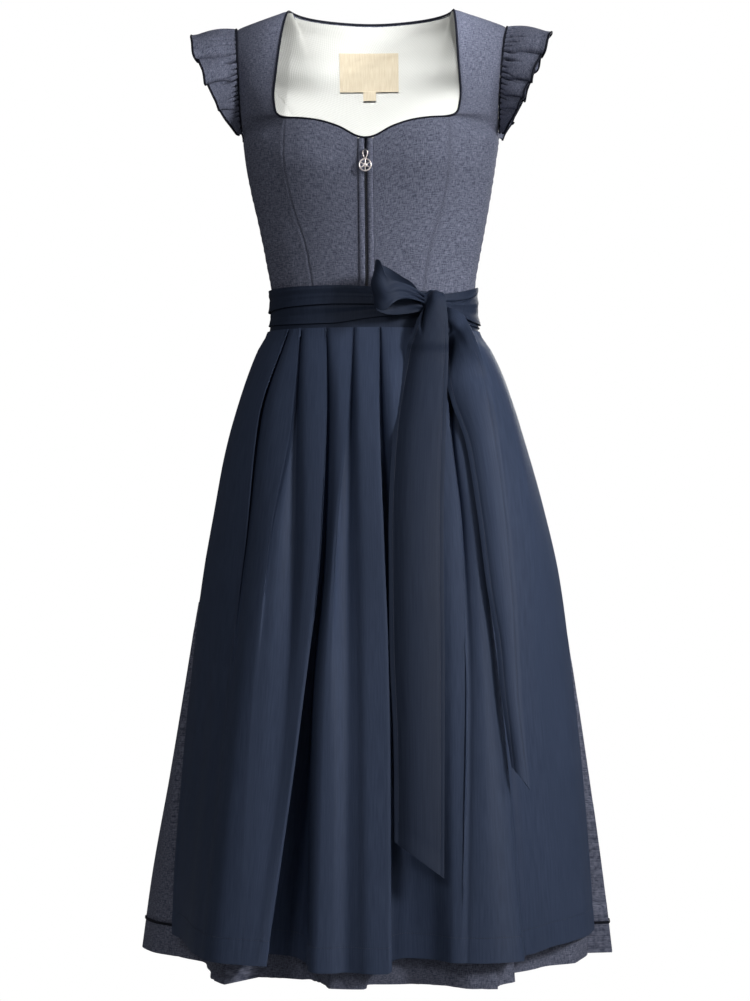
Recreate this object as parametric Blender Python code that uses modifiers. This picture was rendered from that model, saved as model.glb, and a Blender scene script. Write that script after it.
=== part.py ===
"""A dirndl, filled out and hollow, at its real size.

The dress hangs from the shoulders. The origin is on the mid-line between the shoulders, level with the
tops of the straps. +Z is up, the front faces -Y, and +X is the right-hand side seen from the front.
Lengths are in metres. Tables that say mm are in millimetres. A turn is an angle about the mid-line,
in degrees from the front towards +X. The names left and right are as seen from the front.
"""

import math
from collections import namedtuple

import bmesh
import bpy
from mathutils import Matrix, Vector

MM = 0.001

# Driving dimensions
CLOTH = 0.0015
SATIN = 0.0013
LINING = 0.0010
RUFFLE_CLOTH = 0.0012
BINDING = 0.0018
TUCK = 0.0010
PIPING = 0.0024
BAND = 0.0012
PLACKET = 0.0020
TAPE = 0.0010
LABEL_CLOTH = 0.0010
SEAM = 0.0005
SKIRT_SEAM = 0.0008
PLY = 0.0006

WAIST_SEAM_Z = -0.3520
UNDERARM_Z = -0.158
HEM_Z = -1.127
APRON_TOP_Z = -0.3875
PLACKET_HALF = 0.0092
SLOT_HALF = 0.0019
PLACKET_TOP_Z = -0.1745
PLACKET_OUT = 0.0008
PLACKET_BOTTOM_Z = -0.3505

# The body form: a row for each height, with its half widths, its depths and how square it is
Section = namedtuple("Section", "z left right front back square")
FORM = [
    Section(0.000, 0.163, 0.164, 0.050, 0.076, 3.0),
    Section(-0.030, 0.164, 0.165, 0.066, 0.083, 3.0),
    Section(-0.060, 0.165, 0.166, 0.082, 0.090, 3.0),
    Section(-0.090, 0.164, 0.165, 0.096, 0.095, 2.9),
    Section(-0.120, 0.1595, 0.160, 0.109, 0.098, 2.6),
    Section(-0.150, 0.154, 0.155, 0.117, 0.098, 2.4),
    Section(-0.190, 0.150, 0.1495, 0.119, 0.095, 2.3),
    Section(-0.220, 0.1445, 0.145, 0.113, 0.092, 2.2),
    Section(-0.250, 0.1375, 0.140, 0.1065, 0.089, 2.2),
    Section(-0.280, 0.131, 0.1345, 0.101, 0.087, 2.2),
    Section(-0.310, 0.1255, 0.129, 0.0965, 0.086, 2.2),
    Section(-0.335, 0.120, 0.125, 0.093, 0.086, 2.2),
    Section(-0.360, 0.1165, 0.1235, 0.092, 0.087, 2.2),
    Section(-0.3875, 0.1195, 0.1265, 0.0945, 0.091, 2.2),
    Section(-0.410, 0.1315, 0.141, 0.101, 0.098, 2.2),
    Section(-0.440, 0.143, 0.155, 0.113, 0.109, 2.2),
    Section(-0.480, 0.1555, 0.169, 0.128, 0.122, 2.2),
    Section(-0.520, 0.1665, 0.181, 0.141, 0.133, 2.2),
    Section(-0.600, 0.184, 0.204, 0.163, 0.152, 2.15),
    Section(-0.680, 0.2016, 0.2238, 0.182, 0.168, 2.1),
    Section(-0.800, 0.2214, 0.243, 0.207, 0.190, 2.1),
    Section(-0.920, 0.2418, 0.261, 0.229, 0.209, 2.1),
    Section(-1.040, 0.2634, 0.2778, 0.249, 0.226, 2.1),
    Section(-1.127, 0.2754, 0.2886, 0.262, 0.238, 2.1),
]

# The cups: a soft swell each side of the zip
CUP_RISE = 0.010
CUP_TURN = 40.0
CUP_SPREAD_TURN = 24.0
CUP_Z = -0.185
CUP_SPREAD_Z = 0.048

# Front princess seam, from the waist up: height and distance from the mid-line
PRINCESS = [(-0.352, 0.0650), (-0.320, 0.0682), (-0.291, 0.0734), (-0.257, 0.0844), (-0.220, 0.0930),
            (-0.179, 0.0970), (-0.1445, 0.0955)]

# Front neckline between the two princess seams: distance from the mid-line and height
NECKLINE = [(0.000, -0.1735), (0.008, -0.1700), (0.020, -0.1636), (0.037, -0.1555), (0.060, -0.1490),
            (0.080, -0.1462), (0.0955, -0.1445)]

# Side front: heights up the princess seam and up the side seam, as far as the underarm
FRONT_SEAM_ROWS = [(-0.3515, -0.3515), (-0.320, -0.318), (-0.287, -0.285), (-0.254, -0.252),
                   (-0.222, -0.220), (-0.192, -0.188), (-0.165, UNDERARM_Z)]

# Strap, from the top of the princess seam to the shoulder, in mm: the neck edge and the armhole edge
Strap = namedtuple("Strap", "neck_x neck_y neck_z arm_x arm_y arm_z swell")
STRAP = [
    Strap(95.5, -104.5, -144.5, 153.5, -29, -148, 5.0),
    Strap(104, -99, -137, 154, -42, -132, 5.0),
    Strap(109.5, -94, -126, 154.5, -47, -115, 5.0),
    Strap(110.5, -90, -111, 155.5, -50, -95, 4.5),
    Strap(108.5, -81, -84, 157, -46, -72, 4.0),
    Strap(106, -62, -49, 159, -36, -50, 3.5),
    Strap(103.5, -36, -18, 161.5, -18, -31, 3.0),
    Strap(101.5, -18, -4.5, 162.4, -7, -23.6, 3.0),
    Strap(100.2, -2, -0.4, 162.6, -0.8, -21.6, 3.0),
]

# Back princess seam: heights on the centre back, then distance from the mid-line
BACK_SEAM_ROWS = [(-0.3515, 0.050), (-0.315, 0.053), (-0.280, 0.058), (-0.245, 0.064), (-0.210, 0.071),
                  (-0.175, 0.079), (-0.140, 0.090), (-0.108, 0.106), (-0.080, 0.128)]
BACK_CENTRE_ROWS = [-0.3515, -0.320, -0.288, -0.256, -0.222, -0.188, -0.154, -0.122, -0.092]

# Top of the back, in mm: the mid-line, where the neck curve ends, the armhole edge and the curve's sweep
BackTop = namedtuple("BackTop", "mid_y mid_z neck_x neck_y neck_z arm_x arm_y arm_z sweep")
BACK_TOP = [
    BackTop(91, -64, 88, 75, -62, 157.3, 47, -61, 45),
    BackTop(87, -42, 91.5, 62, -40, 160.5, 34, -42, 60),
    BackTop(81.5, -22, 96, 36, -15.5, 162, 16, -28, 80),
    BackTop(76.5, -4.5, 100.2, -1.3, -0.4, 162.6, 0.2, -21.6, 90),
]

# Side back: heights on its own side of the back princess seam and up the side seam
SIDE_BACK_ROWS = [(-0.3515, -0.3515), (-0.315, -0.318), (-0.280, -0.285), (-0.245, -0.252),
                  (-0.210, -0.220), (-0.175, -0.188), (-0.140, UNDERARM_Z)]
# and its points up the armhole above the side seam, in mm
SIDE_BACK_TOP = [(153.5, 30, -147), (154.6, 47, -120), (156.2, 51, -84)]

# Ruffle, in mm: points of the armhole from the front round the shoulder, and how far the ruffle reaches
Cap = namedtuple("Cap", "x y z out_x out_y out_z")
RUFFLE = [
    Cap(153.5, -24, -150, 156.5, -26, -152),
    Cap(154, -43, -132, 172, -53, -138),
    Cap(154.5, -47, -115, 185, -63, -126),
    Cap(155.5, -50, -95, 195, -69, -110),
    Cap(157, -46, -72, 203, -68, -88),
    Cap(159, -36, -50, 209, -56, -64),
    Cap(161.5, -18, -31, 214, -30, -42),
    Cap(162.8, 0, -21.6, 217, 0, -31),
    Cap(162, 16, -28, 214, 29, -42),
    Cap(160.5, 34, -42, 209, 55, -64),
    Cap(157.5, 47, -62, 203, 67, -88),
    Cap(156.2, 51.2, -84, 195, 69, -110),
    Cap(155, 49, -105, 185, 63, -126),
    Cap(154.6, 43, -126, 172, 53, -138),
    Cap(153.5, 27, -148, 156.5, 29, -152),
]
RUFFLE_WAVES = 15
RUFFLE_SWING = 0.0070
RUFFLE_DEPTH = 0.045
RUFFLE_SAG = 0.004
RUFFLE_SAG_WAVES = 2.3
RUFFLE_SAG_START = 0.7
BINDING_WIDTH = 0.0020

# Folds: a row for each crest or hollow, from one edge to the other. Turns in degrees. At the top and at
# the middle level a fold stands out from the body form by so many mm. At the hem it has its reach in mm
# from the mid-line, and the apron's hem has its height in mm.
Fold = namedtuple("Fold", "top_turn top_out mid_turn mid_out hem_turn hem_reach hem_z")
MID_LEVEL = 0.34

APRON = [
    Fold(-94, 3.5, -87, 3.5, -69.0, 249, -1097),
    Fold(-80, 5.0, -74, 6.0, -60.0, 250, -1097),
    Fold(-57.5, 6.5, -52, 9.0, -46.0, 276, -1097),
    Fold(-55.5, 3.2, -47, 4.0, -38.5, 296, -1097),
    Fold(-43.6, 6.5, -37, 12.0, -31.9, 306, -1097),
    Fold(-41.6, 3.2, -25.5, -3.0, -26.8, 301, -1097),
    Fold(-34.0, 5.0, -20.5, 8.0, -22.4, 266, -1098),
    Fold(-28.0, 6.5, -17.5, 6.0, -20.0, 240, -1099),
    Fold(-26.0, 3.2, -14.6, -9.0, -15.8, 232, -1102),
    Fold(-18.0, 5.0, -11.5, 2.0, -12.1, 268, -1106),
    Fold(-10.8, 6.5, -8.4, 11.0, -6.5, 276, -1106.5),
    Fold(-8.8, 3.2, -5.5, -1.0, -1.0, 268, -1106.5),
    Fold(-0.5, 5.0, -1.0, 6.0, 3.0, 273, -1106.5),
    Fold(7.2, 6.5, 4.6, 10.0, 6.7, 277, -1106),
    Fold(9.2, 3.2, 8.0, -16.0, 9.3, 249, -1098),
    Fold(24.0, 3.2, 15.0, -4.0, 12.8, 254, -1095),
    Fold(26.5, 6.5, 21.5, 8.0, 19.0, 283, -1095),
    Fold(33.0, 5.0, 27.0, 9.0, 24.0, 298, -1095),
    Fold(40.5, 6.5, 31.0, 8.0, 35.0, 307, -1095),
    Fold(42.5, 3.2, 34.0, -2.0, 41.0, 283, -1095),
    Fold(55.0, 3.2, 40.0, 3.0, 49.0, 273, -1095),
    Fold(57.5, 6.5, 45.0, 8.0, 57.0, 271, -1095),
    Fold(70.0, 3.5, 62.0, 4.0, 69.0, 268, -1095),
    Fold(72.5, 6.0, 72.0, 6.0, 76.0, 271, -1095),
    Fold(93.0, 3.5, 88.0, 3.5, 82.0, 273, -1095),
]

SKIRT_FRONT = [
    Fold(-90, -2.0, -90, 0.0, -90, 275.5, -1127),
    Fold(-80, -2.5, -81, -2.0, -82, 263, -1127),
    Fold(-70, -3.5, -71, -8.0, -71, 229, -1127),
    Fold(-60, -2.2, -60, -8.0, -62, 214, -1127),
    Fold(-50, -3.5, -48, -4.0, -50, 232, -1127),
    Fold(-40, -2.2, -38, -1.0, -37.5, 269, -1127),
    Fold(-30, -3.5, -29, -1.0, -25.5, 287, -1127),
    Fold(-20, -2.2, -19, -9.0, -16.5, 208, -1127),
    Fold(-12, -3.5, -12, -6.0, -8.1, 259, -1127),
    Fold(-4, -2.2, -4, -2.0, 0.0, 261, -1127),
    Fold(4, -3.5, 5, -5.0, 3.8, 233, -1127),
    Fold(12, -2.2, 13, -8.0, 10.2, 234, -1127),
    Fold(20, -3.5, 20, -3.0, 17.9, 263, -1127),
    Fold(30, -2.2, 29, -1.0, 25.0, 288, -1127),
    Fold(40, -3.5, 37, -2.0, 35.0, 288, -1127),
    Fold(52, -2.2, 49, -8.0, 49.0, 226, -1127),
    Fold(64, -3.5, 62, -6.0, 61.0, 232, -1127),
    Fold(77, -2.2, 76, -2.0, 77.0, 275, -1127),
    Fold(90, -2.0, 90, 0.0, 90, 288.5, -1127),
]

SKIRT_BACK = [
    Fold(90, -2.0, 90, 0.0, 90, 288.5, -1127),
    Fold(99, -4.2, 98, -6.0, 99, 268, -1127),
    Fold(107, -2.0, 108, 0.0, 108, 276, -1127),
    Fold(116, -4.2, 118, -11.0, 118, 222, -1127),
    Fold(124, -2.0, 126, 0.0, 126, 262, -1127),
    Fold(133, -4.2, 135, -12.0, 136, 205, -1127),
    Fold(142, -2.0, 144, 0.0, 146, 252, -1127),
    Fold(151, -4.2, 153, -12.0, 155, 199, -1127),
    Fold(160, -2.0, 162, 0.0, 163, 246, -1127),
    Fold(170, -4.2, 171, -10.0, 172, 201, -1127),
    Fold(180, -2.0, 180, 0.0, 181, 243, -1127),
    Fold(190, -4.2, 189, -11.0, 190, 197, -1127),
    Fold(200, -2.0, 198, 0.0, 199, 246, -1127),
    Fold(209, -4.2, 207, -12.0, 207, 201, -1127),
    Fold(218, -2.0, 216, 0.0, 215, 250, -1127),
    Fold(227, -4.2, 225, -12.0, 225, 206, -1127),
    Fold(236, -2.0, 234, 0.0, 235, 258, -1127),
    Fold(244, -4.2, 243, -10.0, 244, 217, -1127),
    Fold(253, -2.0, 252, 0.0, 253, 266, -1127),
    Fold(261, -4.2, 262, -5.0, 262, 256, -1127),
    Fold(270, -2.0, 270, 0.0, 270, 275.5, -1127),
]

# Hem tuck round the skirt
TUCK_Z = HEM_Z + 0.0345
TUCK_WIDTH = 0.0030

TUCK_LEVEL = (TUCK_Z - WAIST_SEAM_Z + SEAM) / (HEM_Z - WAIST_SEAM_Z + SEAM)
SKIRT_LEVELS = [0.0, 0.05, 0.12, 0.21, 0.32, 0.45, 0.60, 0.78, TUCK_LEVEL, 1.0]
APRON_LEVELS = [0.0, 0.035, 0.085, 0.16, 0.25, 0.35, 0.47, 0.60, 0.73, 0.87, 1.0]
FOLD_STEP = 2.3
APRON_SKIRT_MARGIN = 5.0
UNDER_WINDOW = 2.5
UNDER_APRON_TOP = 0.0065
UNDER_APRON_HEM = 0.0115

# Sash: the edges of its two wraps round the waist, in mm: turn, top, line between the wraps, bottom
SashEdge = namedtuple("SashEdge", "turn top middle bottom")
SASH = [
    SashEdge(-180, -338, -360, -381),
    SashEdge(-90, -338.5, -364, -380),
    SashEdge(-45, -337.8, -360.5, -382),
    SashEdge(-25, -337.8, -359.5, -382),
    SashEdge(0, -339.5, -360, -376.5),
    SashEdge(14, -342, -360.5, -374),
    SashEdge(38, -344, -361, -372),
    SashEdge(60, -342, -361, -377),
    SashEdge(90, -337, -361, -382),
    SashEdge(135, -338, -360, -381),
    SashEdge(180, -338, -360, -381),
]
WAISTBAND_OUT = 0.0024
LOWER_WRAP_OUT = 0.0043
UPPER_WRAP_TOP_OUT = 0.0034
UPPER_WRAP_BOTTOM_OUT = 0.0066
WRAP_OVERLAP = 0.003
RING_SIDES = 60

# Bow, in mm. The knot is a soft round lump on the sash.
KNOT_TURN = 38.0
KNOT_OUT = 0.0180
KNOT_Z = -0.358
KNOT_ACROSS = 0.0165
KNOT_HIGH = 0.0130
KNOT_DEEP = 0.0108
# The loop: stations along the band from the knot round to the knot, with its upper and lower edge
LOOP = [
    ((66.2, -110.2, -353.5), (66.2, -109.8, -361.5)),
    ((58.5, -123, -345), (56, -123.5, -360)),
    ((48, -138, -335), (43, -139, -360)),
    ((36.5, -148, -328), (34, -148, -365.5)),
    ((25.5, -150.5, -320), (23.5, -149, -374)),
    ((17.5, -147, -315), (15, -143, -370)),
    ((13.2, -137, -319), (11.5, -133, -365)),
    ((15, -125, -326.5), (16, -122.5, -371.5)),
    ((27, -117.5, -336), (28, -117.5, -374)),
    ((44, -113.5, -345), (45, -114.5, -372.5)),
    ((58, -110.5, -355), (58, -110.5, -370)),
    ((65.2, -106, -364.5), (65.6, -105.4, -369.3)),
]
# Tails: left and right edge at each station, x and z, with the depth where it leaves the knot
Tail = namedtuple("Tail", "left_x left_z right_x right_z depth")
MAIN_TAIL = [
    Tail(72, -368.8, 85, -368.8, 103.8),
    Tail(68, -372, 88.5, -372.5, 108),
    Tail(62, -384, 93.5, -384, 115),
    Tail(54, -405, 94.1, -405, 121),
    Tail(45.5, -430, 94.4, -430, 0),
    Tail(34.5, -498, 93.7, -498, 0),
    Tail(30, -589, 91.9, -589, 0),
    Tail(31, -679, 92.4, -679, 0),
    Tail(33, -768, 94, -768, 0),
    Tail(37.8, -855, 94.3, -870, 0),
    Tail(39.7, -964, 94.5, -1003, 0),
]
SECOND_TAIL = [
    Tail(89.2, -363, 89.7, -354, 86.3),
    Tail(92, -367, 97, -356, 97),
    Tail(95, -376, 107, -366, 107),
    Tail(98, -391, 120, -386, 112),
    Tail(100.5, -408, 128, -409, 117),
    Tail(102.5, -442, 140, -446.5, 0),
    Tail(116.5, -525, 155, -525, 0),
    Tail(130, -607, 165.5, -607, 0),
    Tail(140.5, -686, 173, -686, 0),
    Tail(150.5, -745, 176.5, -745, 0),
    Tail(157.5, -812, 180, -815, 0),
    Tail(168.5, -885, 188.5, -910, 0),
]
TAIL_CLEAR = 0.0055

# Zip. The pull hangs from its crossbar, which runs through the slider's bridge.
TAPE_HALF = 0.0085
TAPE_INSET = 0.0020
SLIDER_WIDTH = 0.0030
SLIDER_BACK_Y = -0.1181
SLIDER_FRONT_Y = -0.1237
SLIDER_LOW_Z = -0.1935
SLIDER_HIGH_Z = -0.1835
HINGE_Y = -0.1250
HINGE_Z = -0.1862
EYE = 0.0014
BRIDGE = 0.0023
CROSSBAR = 0.0006
LOOP_HALF = 0.0029
LOOP_STRAIGHT = 0.0035
LOOP_DROP = 0.0084
CHARM_RADIUS = 0.0068
CHARM_WIRE = 0.0009
CHARM_DROP = 0.0160
SPOKE = 0.00055
BOSS_RADIUS = 0.0019

# Label and its size tab on the back lining: middle x, top, width, height
LABEL = (-0.006, -0.040, 0.0700, 0.0470)
SIZE_TAB = (-0.006, -0.0905, 0.0165, 0.0095)
LABEL_CLEAR = 0.0009


class Curve:
    """A smooth line through number pairs that never swings past them."""

    def __init__(self, pairs, level_ends=False):
        pairs = sorted(pairs)
        self.x = [pair[0] for pair in pairs]
        self.y = [pair[1] for pair in pairs]
        steps = [b - a for a, b in zip(self.x, self.x[1:])]
        rises = [(b - a) / step for a, b, step in zip(self.y, self.y[1:], steps)]
        self.slope = [rises[0]]
        for before, after in zip(rises, rises[1:]):
            same_way = before * after > 0
            self.slope.append(2 * before * after / (before + after) if same_way else 0.0)
        self.slope.append(rises[-1])
        if level_ends:
            self.slope[0] = 0.0
            self.slope[-1] = 0.0

    def __call__(self, x):
        x = min(max(x, self.x[0]), self.x[-1])
        i = 0
        while i < len(self.x) - 2 and x > self.x[i + 1]:
            i += 1
        step = self.x[i + 1] - self.x[i]
        t = (x - self.x[i]) / step
        return (self.y[i] * (1 + 2 * t) * (1 - t) ** 2
                + self.slope[i] * step * t * (1 - t) ** 2
                + self.y[i + 1] * t * t * (3 - 2 * t)
                + self.slope[i + 1] * step * t * t * (t - 1))


LEFT = Curve([(row.z, row.left) for row in FORM])
RIGHT = Curve([(row.z, row.right) for row in FORM])
FRONT = Curve([(row.z, row.front) for row in FORM])
BACK = Curve([(row.z, row.back) for row in FORM])
SQUARE = Curve([(row.z, row.square) for row in FORM])
PRINCESS_X = Curve(PRINCESS)
NECK_Z = Curve(NECKLINE)


def cup(turn, z):
    """Swell of the cups at a turn in degrees."""
    across = math.exp(-((abs(turn) - CUP_TURN) / CUP_SPREAD_TURN) ** 2)
    return CUP_RISE * across * math.exp(-((z - CUP_Z) / CUP_SPREAD_Z) ** 2)


def form_radius(turn, z):
    """Distance of the body form from the mid-line."""
    turn = (turn + 180) % 360 - 180
    across = math.sin(math.radians(turn))
    ahead = math.cos(math.radians(turn))
    side = RIGHT(z) if across > 0 else LEFT(z)
    depth = FRONT(z) if ahead > 0 else BACK(z)
    power = SQUARE(z)
    radius = (abs(across / side) ** power + abs(ahead / depth) ** power) ** (-1 / power)
    return radius + cup(turn, z)


def at(turn, z, reach):
    angle = math.radians(turn)
    return Vector((reach * math.sin(angle), -reach * math.cos(angle), z))


def form(turn, z, out=0.0):
    """Point on the body form, moved out from the mid-line."""
    return at(turn, z, form_radius(turn, z) + out)


def turn_of(point):
    return math.degrees(math.atan2(point.x, -point.y))


def turn_at(x, z, behind=False):
    """Turn at which the body form has this x, on the front or on the back."""
    side = 1 if x >= 0 else -1
    low, high = (90.0, 180.0) if behind else (0.0, 90.0)
    for _ in range(40):
        middle = (low + high) / 2
        reach = abs(form(side * middle, z).x)
        if (reach < abs(x)) != behind:
            low = middle
        else:
            high = middle
    return side * (low + high) / 2


def blend(a, b, t):
    return a + (b - a) * t


def mm(*values):
    return Vector(values) * MM


def mirrored_point(point):
    """The same place on the other side, as far beyond the body form as it is here."""
    turn = turn_of(point)
    out = math.hypot(point.x, point.y) - form_radius(turn, point.z)
    return form(-turn, point.z, out)


def mirrored(grid):
    """The same panel on the other side, with its columns turned round so that it still faces out."""
    return [[mirrored_point(p) for p in reversed(row)] for row in grid]


def outward(point):
    """Direction out of the bodice, which depends on the place only, so that seams stay parallel."""
    rise = 0.15 * max(0.0, 1 + point.z / 0.10) ** 2
    return Vector((point.x * 0.45, point.y, rise)).normalized()


def grid_normals(grid):
    """Outward direction at each point of a grid whose columns run with the turn and rows run up."""
    normals = []
    for i, row in enumerate(grid):
        line = []
        for j in range(len(row)):
            across = row[min(j + 1, len(row) - 1)] - row[max(j - 1, 0)]
            up = grid[min(i + 1, len(grid) - 1)][j] - grid[max(i - 1, 0)][j]
            line.append(across.cross(up).normalized())
        normals.append(line)
    return normals


def lifted(grid, out):
    """The grid's points moved out from its surface, or in where out is negative."""
    normals = grid_normals(grid)
    return [[p + n * out for p, n in zip(row, line)] for row, line in zip(grid, normals)]


# Scene helpers
def clear_scene():
    for item in list(bpy.data.objects):
        bpy.data.objects.remove(item, do_unlink=True)


def material(name, colour, roughness, metallic=0.0):
    result = bpy.data.materials.new(name)
    result.use_nodes = True
    shader = result.node_tree.nodes["Principled BSDF"]
    shader.inputs["Base Color"].default_value = (*colour, 1.0)
    shader.inputs["Roughness"].default_value = roughness
    shader.inputs["Metallic"].default_value = metallic
    return result


def new_collection(name):
    result = bpy.data.collections.new(name)
    bpy.context.scene.collection.children.link(result)
    return result


def add_object(name, mesh, surface):
    item = bpy.data.objects.new(name, mesh)
    item.data.materials.append(surface)
    DIRNDL.objects.link(item)
    return item


def grid_mesh(grid, closed=False):
    """A sheet of quads through a grid of points. A closed one goes all round."""
    bm = bmesh.new()
    rows = len(grid)
    columns = len(grid[0])
    bmesh.ops.create_grid(bm, x_segments=columns - 1, y_segments=rows - 1, size=1.0)
    bm.verts.ensure_lookup_table()
    for index, vert in enumerate(bm.verts):
        vert.co = grid[index // columns][index % columns]
    if closed:
        bmesh.ops.remove_doubles(bm, verts=bm.verts, dist=1e-6)
    return bm


def panel(name, grid, thick, surface, inset=0.0):
    """A bodice panel: its sheet, set in from the grid, is extruded inwards as a wall."""
    grid = [[p - outward(p) * inset for p in row] for row in grid]
    bm = grid_mesh(grid)
    wall = bmesh.ops.extrude_face_region(bm, geom=bm.faces[:], use_keep_orig=True)["geom"]
    for part in wall:
        if isinstance(part, bmesh.types.BMVert):
            part.co -= outward(part.co) * thick
    bmesh.ops.recalc_face_normals(bm, faces=bm.faces[:])
    mesh = bpy.data.meshes.new(name)
    bm.to_mesh(mesh)
    bm.free()
    mesh.shade_smooth()
    mesh.set_sharp_from_angle(angle=math.radians(50))
    return add_object(name, mesh, surface)


def sheet(name, grid, thick, surface, offset=-1.0, closed=False):
    """A cloth sheet with a Solidify wall."""
    bm = grid_mesh(grid, closed)
    mesh = bpy.data.meshes.new(name)
    bm.to_mesh(mesh)
    bm.free()
    mesh.shade_smooth()
    item = add_object(name, mesh, surface)
    wall = item.modifiers.new("wall", "SOLIDIFY")
    wall.thickness = thick
    wall.offset = offset
    return item


# Bodice
def centre_front():
    """Right centre front, from the placket to the princess seam."""
    columns = 4
    low = FRONT_SEAM_ROWS[0][0]
    high = NECKLINE[-1][1]
    grid = []
    for seam_z in [row[0] for row in FRONT_SEAM_ROWS] + [high]:
        line = []
        for j in range(columns + 1):
            u = j / columns
            top = NECK_Z(blend(PLACKET_HALF, NECKLINE[-1][0], u))
            z = blend(low, top, (seam_z - low) / (high - low))
            x = blend(PLACKET_HALF, PRINCESS_X(seam_z) - SEAM / 2, u)
            line.append(form(turn_at(x, z), z))
        grid.append(line)
    return grid


def swelled(start, end, columns, swell):
    """Points across a panel from edge to edge, with its soft swell."""
    line = []
    for j in range(columns + 1):
        u = j / columns
        point = start.lerp(end, u)
        line.append(point + outward(point) * (swell * 4 * u * (1 - u)))
    return line


def side_front():
    """Right side front with its strap, up to the shoulder seam."""
    columns = 3
    grid = []
    for seam_z, side_z in FRONT_SEAM_ROWS:
        seam_turn = turn_at(PRINCESS_X(seam_z) + SEAM / 2, seam_z)
        side_turn = 90 - math.degrees(SEAM / 2 / RIGHT(side_z))
        line = []
        for j in range(columns + 1):
            u = j / columns
            line.append(form(blend(seam_turn, side_turn, u), blend(seam_z, side_z, u)))
        grid.append(line)
    for strap in STRAP:
        neck = mm(strap.neck_x, strap.neck_y, strap.neck_z)
        arm = mm(strap.arm_x, strap.arm_y, strap.arm_z)
        grid.append(swelled(neck, arm, columns, strap.swell * MM))
    first_strap = grid[len(FRONT_SEAM_ROWS)]
    first_strap[0] = form(turn_at(NECKLINE[-1][0] + SEAM / 2, NECKLINE[-1][1]), NECKLINE[-1][1])
    return grid


def back_half():
    """Right half of the centre back, from the mid-line out, up to the neck and the shoulder seam."""
    neck_columns = 5
    shoulder_columns = 3
    count = neck_columns + shoulder_columns
    grid = []
    for (seam_z, seam_x), mid_z in zip(BACK_SEAM_ROWS, BACK_CENTRE_ROWS):
        line = []
        for j in range(count + 1):
            u = j / count
            z = blend(mid_z, seam_z, u)
            line.append(form(turn_at(blend(0, seam_x - SEAM / 2, u), z, behind=True), z))
        grid.append(line)
    for top in BACK_TOP:
        line = []
        sweep = math.radians(top.sweep)
        for j in range(neck_columns + 1):
            angle = sweep * j / neck_columns
            x = top.neck_x * math.sin(angle) / math.sin(sweep)
            fall = (math.cos(angle) - math.cos(sweep)) / (1 - math.cos(sweep))
            line.append(mm(x, blend(top.neck_y, top.mid_y, fall), blend(top.mid_z, top.neck_z,
                                                                       j / neck_columns)))
        arm = mm(top.arm_x, top.arm_y, top.arm_z)
        line += swelled(line[-1], arm, shoulder_columns, STRAP[-1].swell * MM)[1:]
        grid.append(line)
    return grid


def centre_back():
    """The whole centre back. Its columns run with the turn, from +X round to -X."""
    half = back_half()
    return [list(reversed(row)) + [mirrored_point(p) for p in row[1:]] for row in half]


def side_back():
    """Right side back, from the side seam to the back princess seam."""
    columns = 3
    grid = []
    for (seam_z, side_z), (_, seam_x) in zip(SIDE_BACK_ROWS, BACK_SEAM_ROWS):
        side_turn = 90 + math.degrees(SEAM / 2 / RIGHT(side_z))
        seam_turn = turn_at(seam_x + SEAM / 2, seam_z, behind=True)
        line = []
        for j in range(columns + 1):
            u = j / columns
            line.append(form(blend(side_turn, seam_turn, u), blend(side_z, seam_z, u)))
        grid.append(line)
    for (seam_z, seam_x), arm in zip(BACK_SEAM_ROWS[-2:], SIDE_BACK_TOP):
        seam = form(turn_at(seam_x + SEAM / 2, seam_z, behind=True), seam_z)
        grid.append(swelled(mm(*arm), seam, columns, 0.004))
    back = back_half()
    low = back[len(BACK_SEAM_ROWS) - 1][-1]
    high = back[len(BACK_SEAM_ROWS)][-1]
    tip = low.lerp(high, 0.72) - Vector((0, 0, 2 * SEAM))
    grid.append(swelled(mm(*SIDE_BACK_TOP[-1]), tip, columns, 0.0))
    return grid


def build_bodice():
    front = centre_front()
    panel("bodice_front_right", front, CLOTH, MELANGE)
    panel("bodice_front_left", mirrored(front), CLOTH, MELANGE)
    side = side_front()
    panel("bodice_side_front_right", side, CLOTH, MELANGE)
    panel("bodice_side_front_left", mirrored(side), CLOTH, MELANGE)
    panel("bodice_back", centre_back(), CLOTH, MELANGE)
    side = side_back()
    panel("bodice_side_back_right", side, CLOTH, MELANGE)
    panel("bodice_side_back_left", mirrored(side), CLOTH, MELANGE)


def build_lining():
    """Off-white lining inside the back, which shows through the neck."""
    panel("lining_back", centre_back()[1:], LINING, OFF_WHITE, inset=CLOTH + PLY)
    side = side_back()[1:]
    panel("lining_side_right", side, LINING, OFF_WHITE, inset=CLOTH + PLY)
    panel("lining_side_left", mirrored(side), LINING, OFF_WHITE, inset=CLOTH + PLY)


def neck_edge():
    """Points of the neck edge of the right half with the panel point next to each, from the front."""
    front = centre_front()
    pairs = list(zip(front[-1], front[-2]))
    strap = side_front()[len(FRONT_SEAM_ROWS):]
    pairs += [(row[0], row[1]) for row in strap[1:]]
    back = back_half()
    neck_columns = 5
    tops = list(zip(back[-1], back[-2]))[:neck_columns]
    return pairs + list(reversed(tops))


def build_neck_piping():
    """A narrow folded strip round the whole neck, a hair off the panels' edges."""
    right = neck_edge()
    left = [(mirrored_point(p), mirrored_point(q)) for p, q in right]
    loop = right + list(reversed(left[:-1]))
    near = []
    far = []
    count = len(loop)
    for i, (edge, inside) in enumerate(loop):
        along = (loop[(i + 1) % count][0] - loop[i - 1][0]).normalized()
        away = edge - inside
        away = (away - along * away.dot(along)).normalized()
        normal = along.cross(away).normalized()
        base = edge - normal * (CLOTH / 2)
        near.append(base + away * PLY)
        far.append(base + away * (PLY + PIPING))
    grid = [near + near[:1], far + far[:1]]
    sheet("neck_piping", grid, PIPING, NAVY_TRIM, offset=0.0, closed=True)


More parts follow.
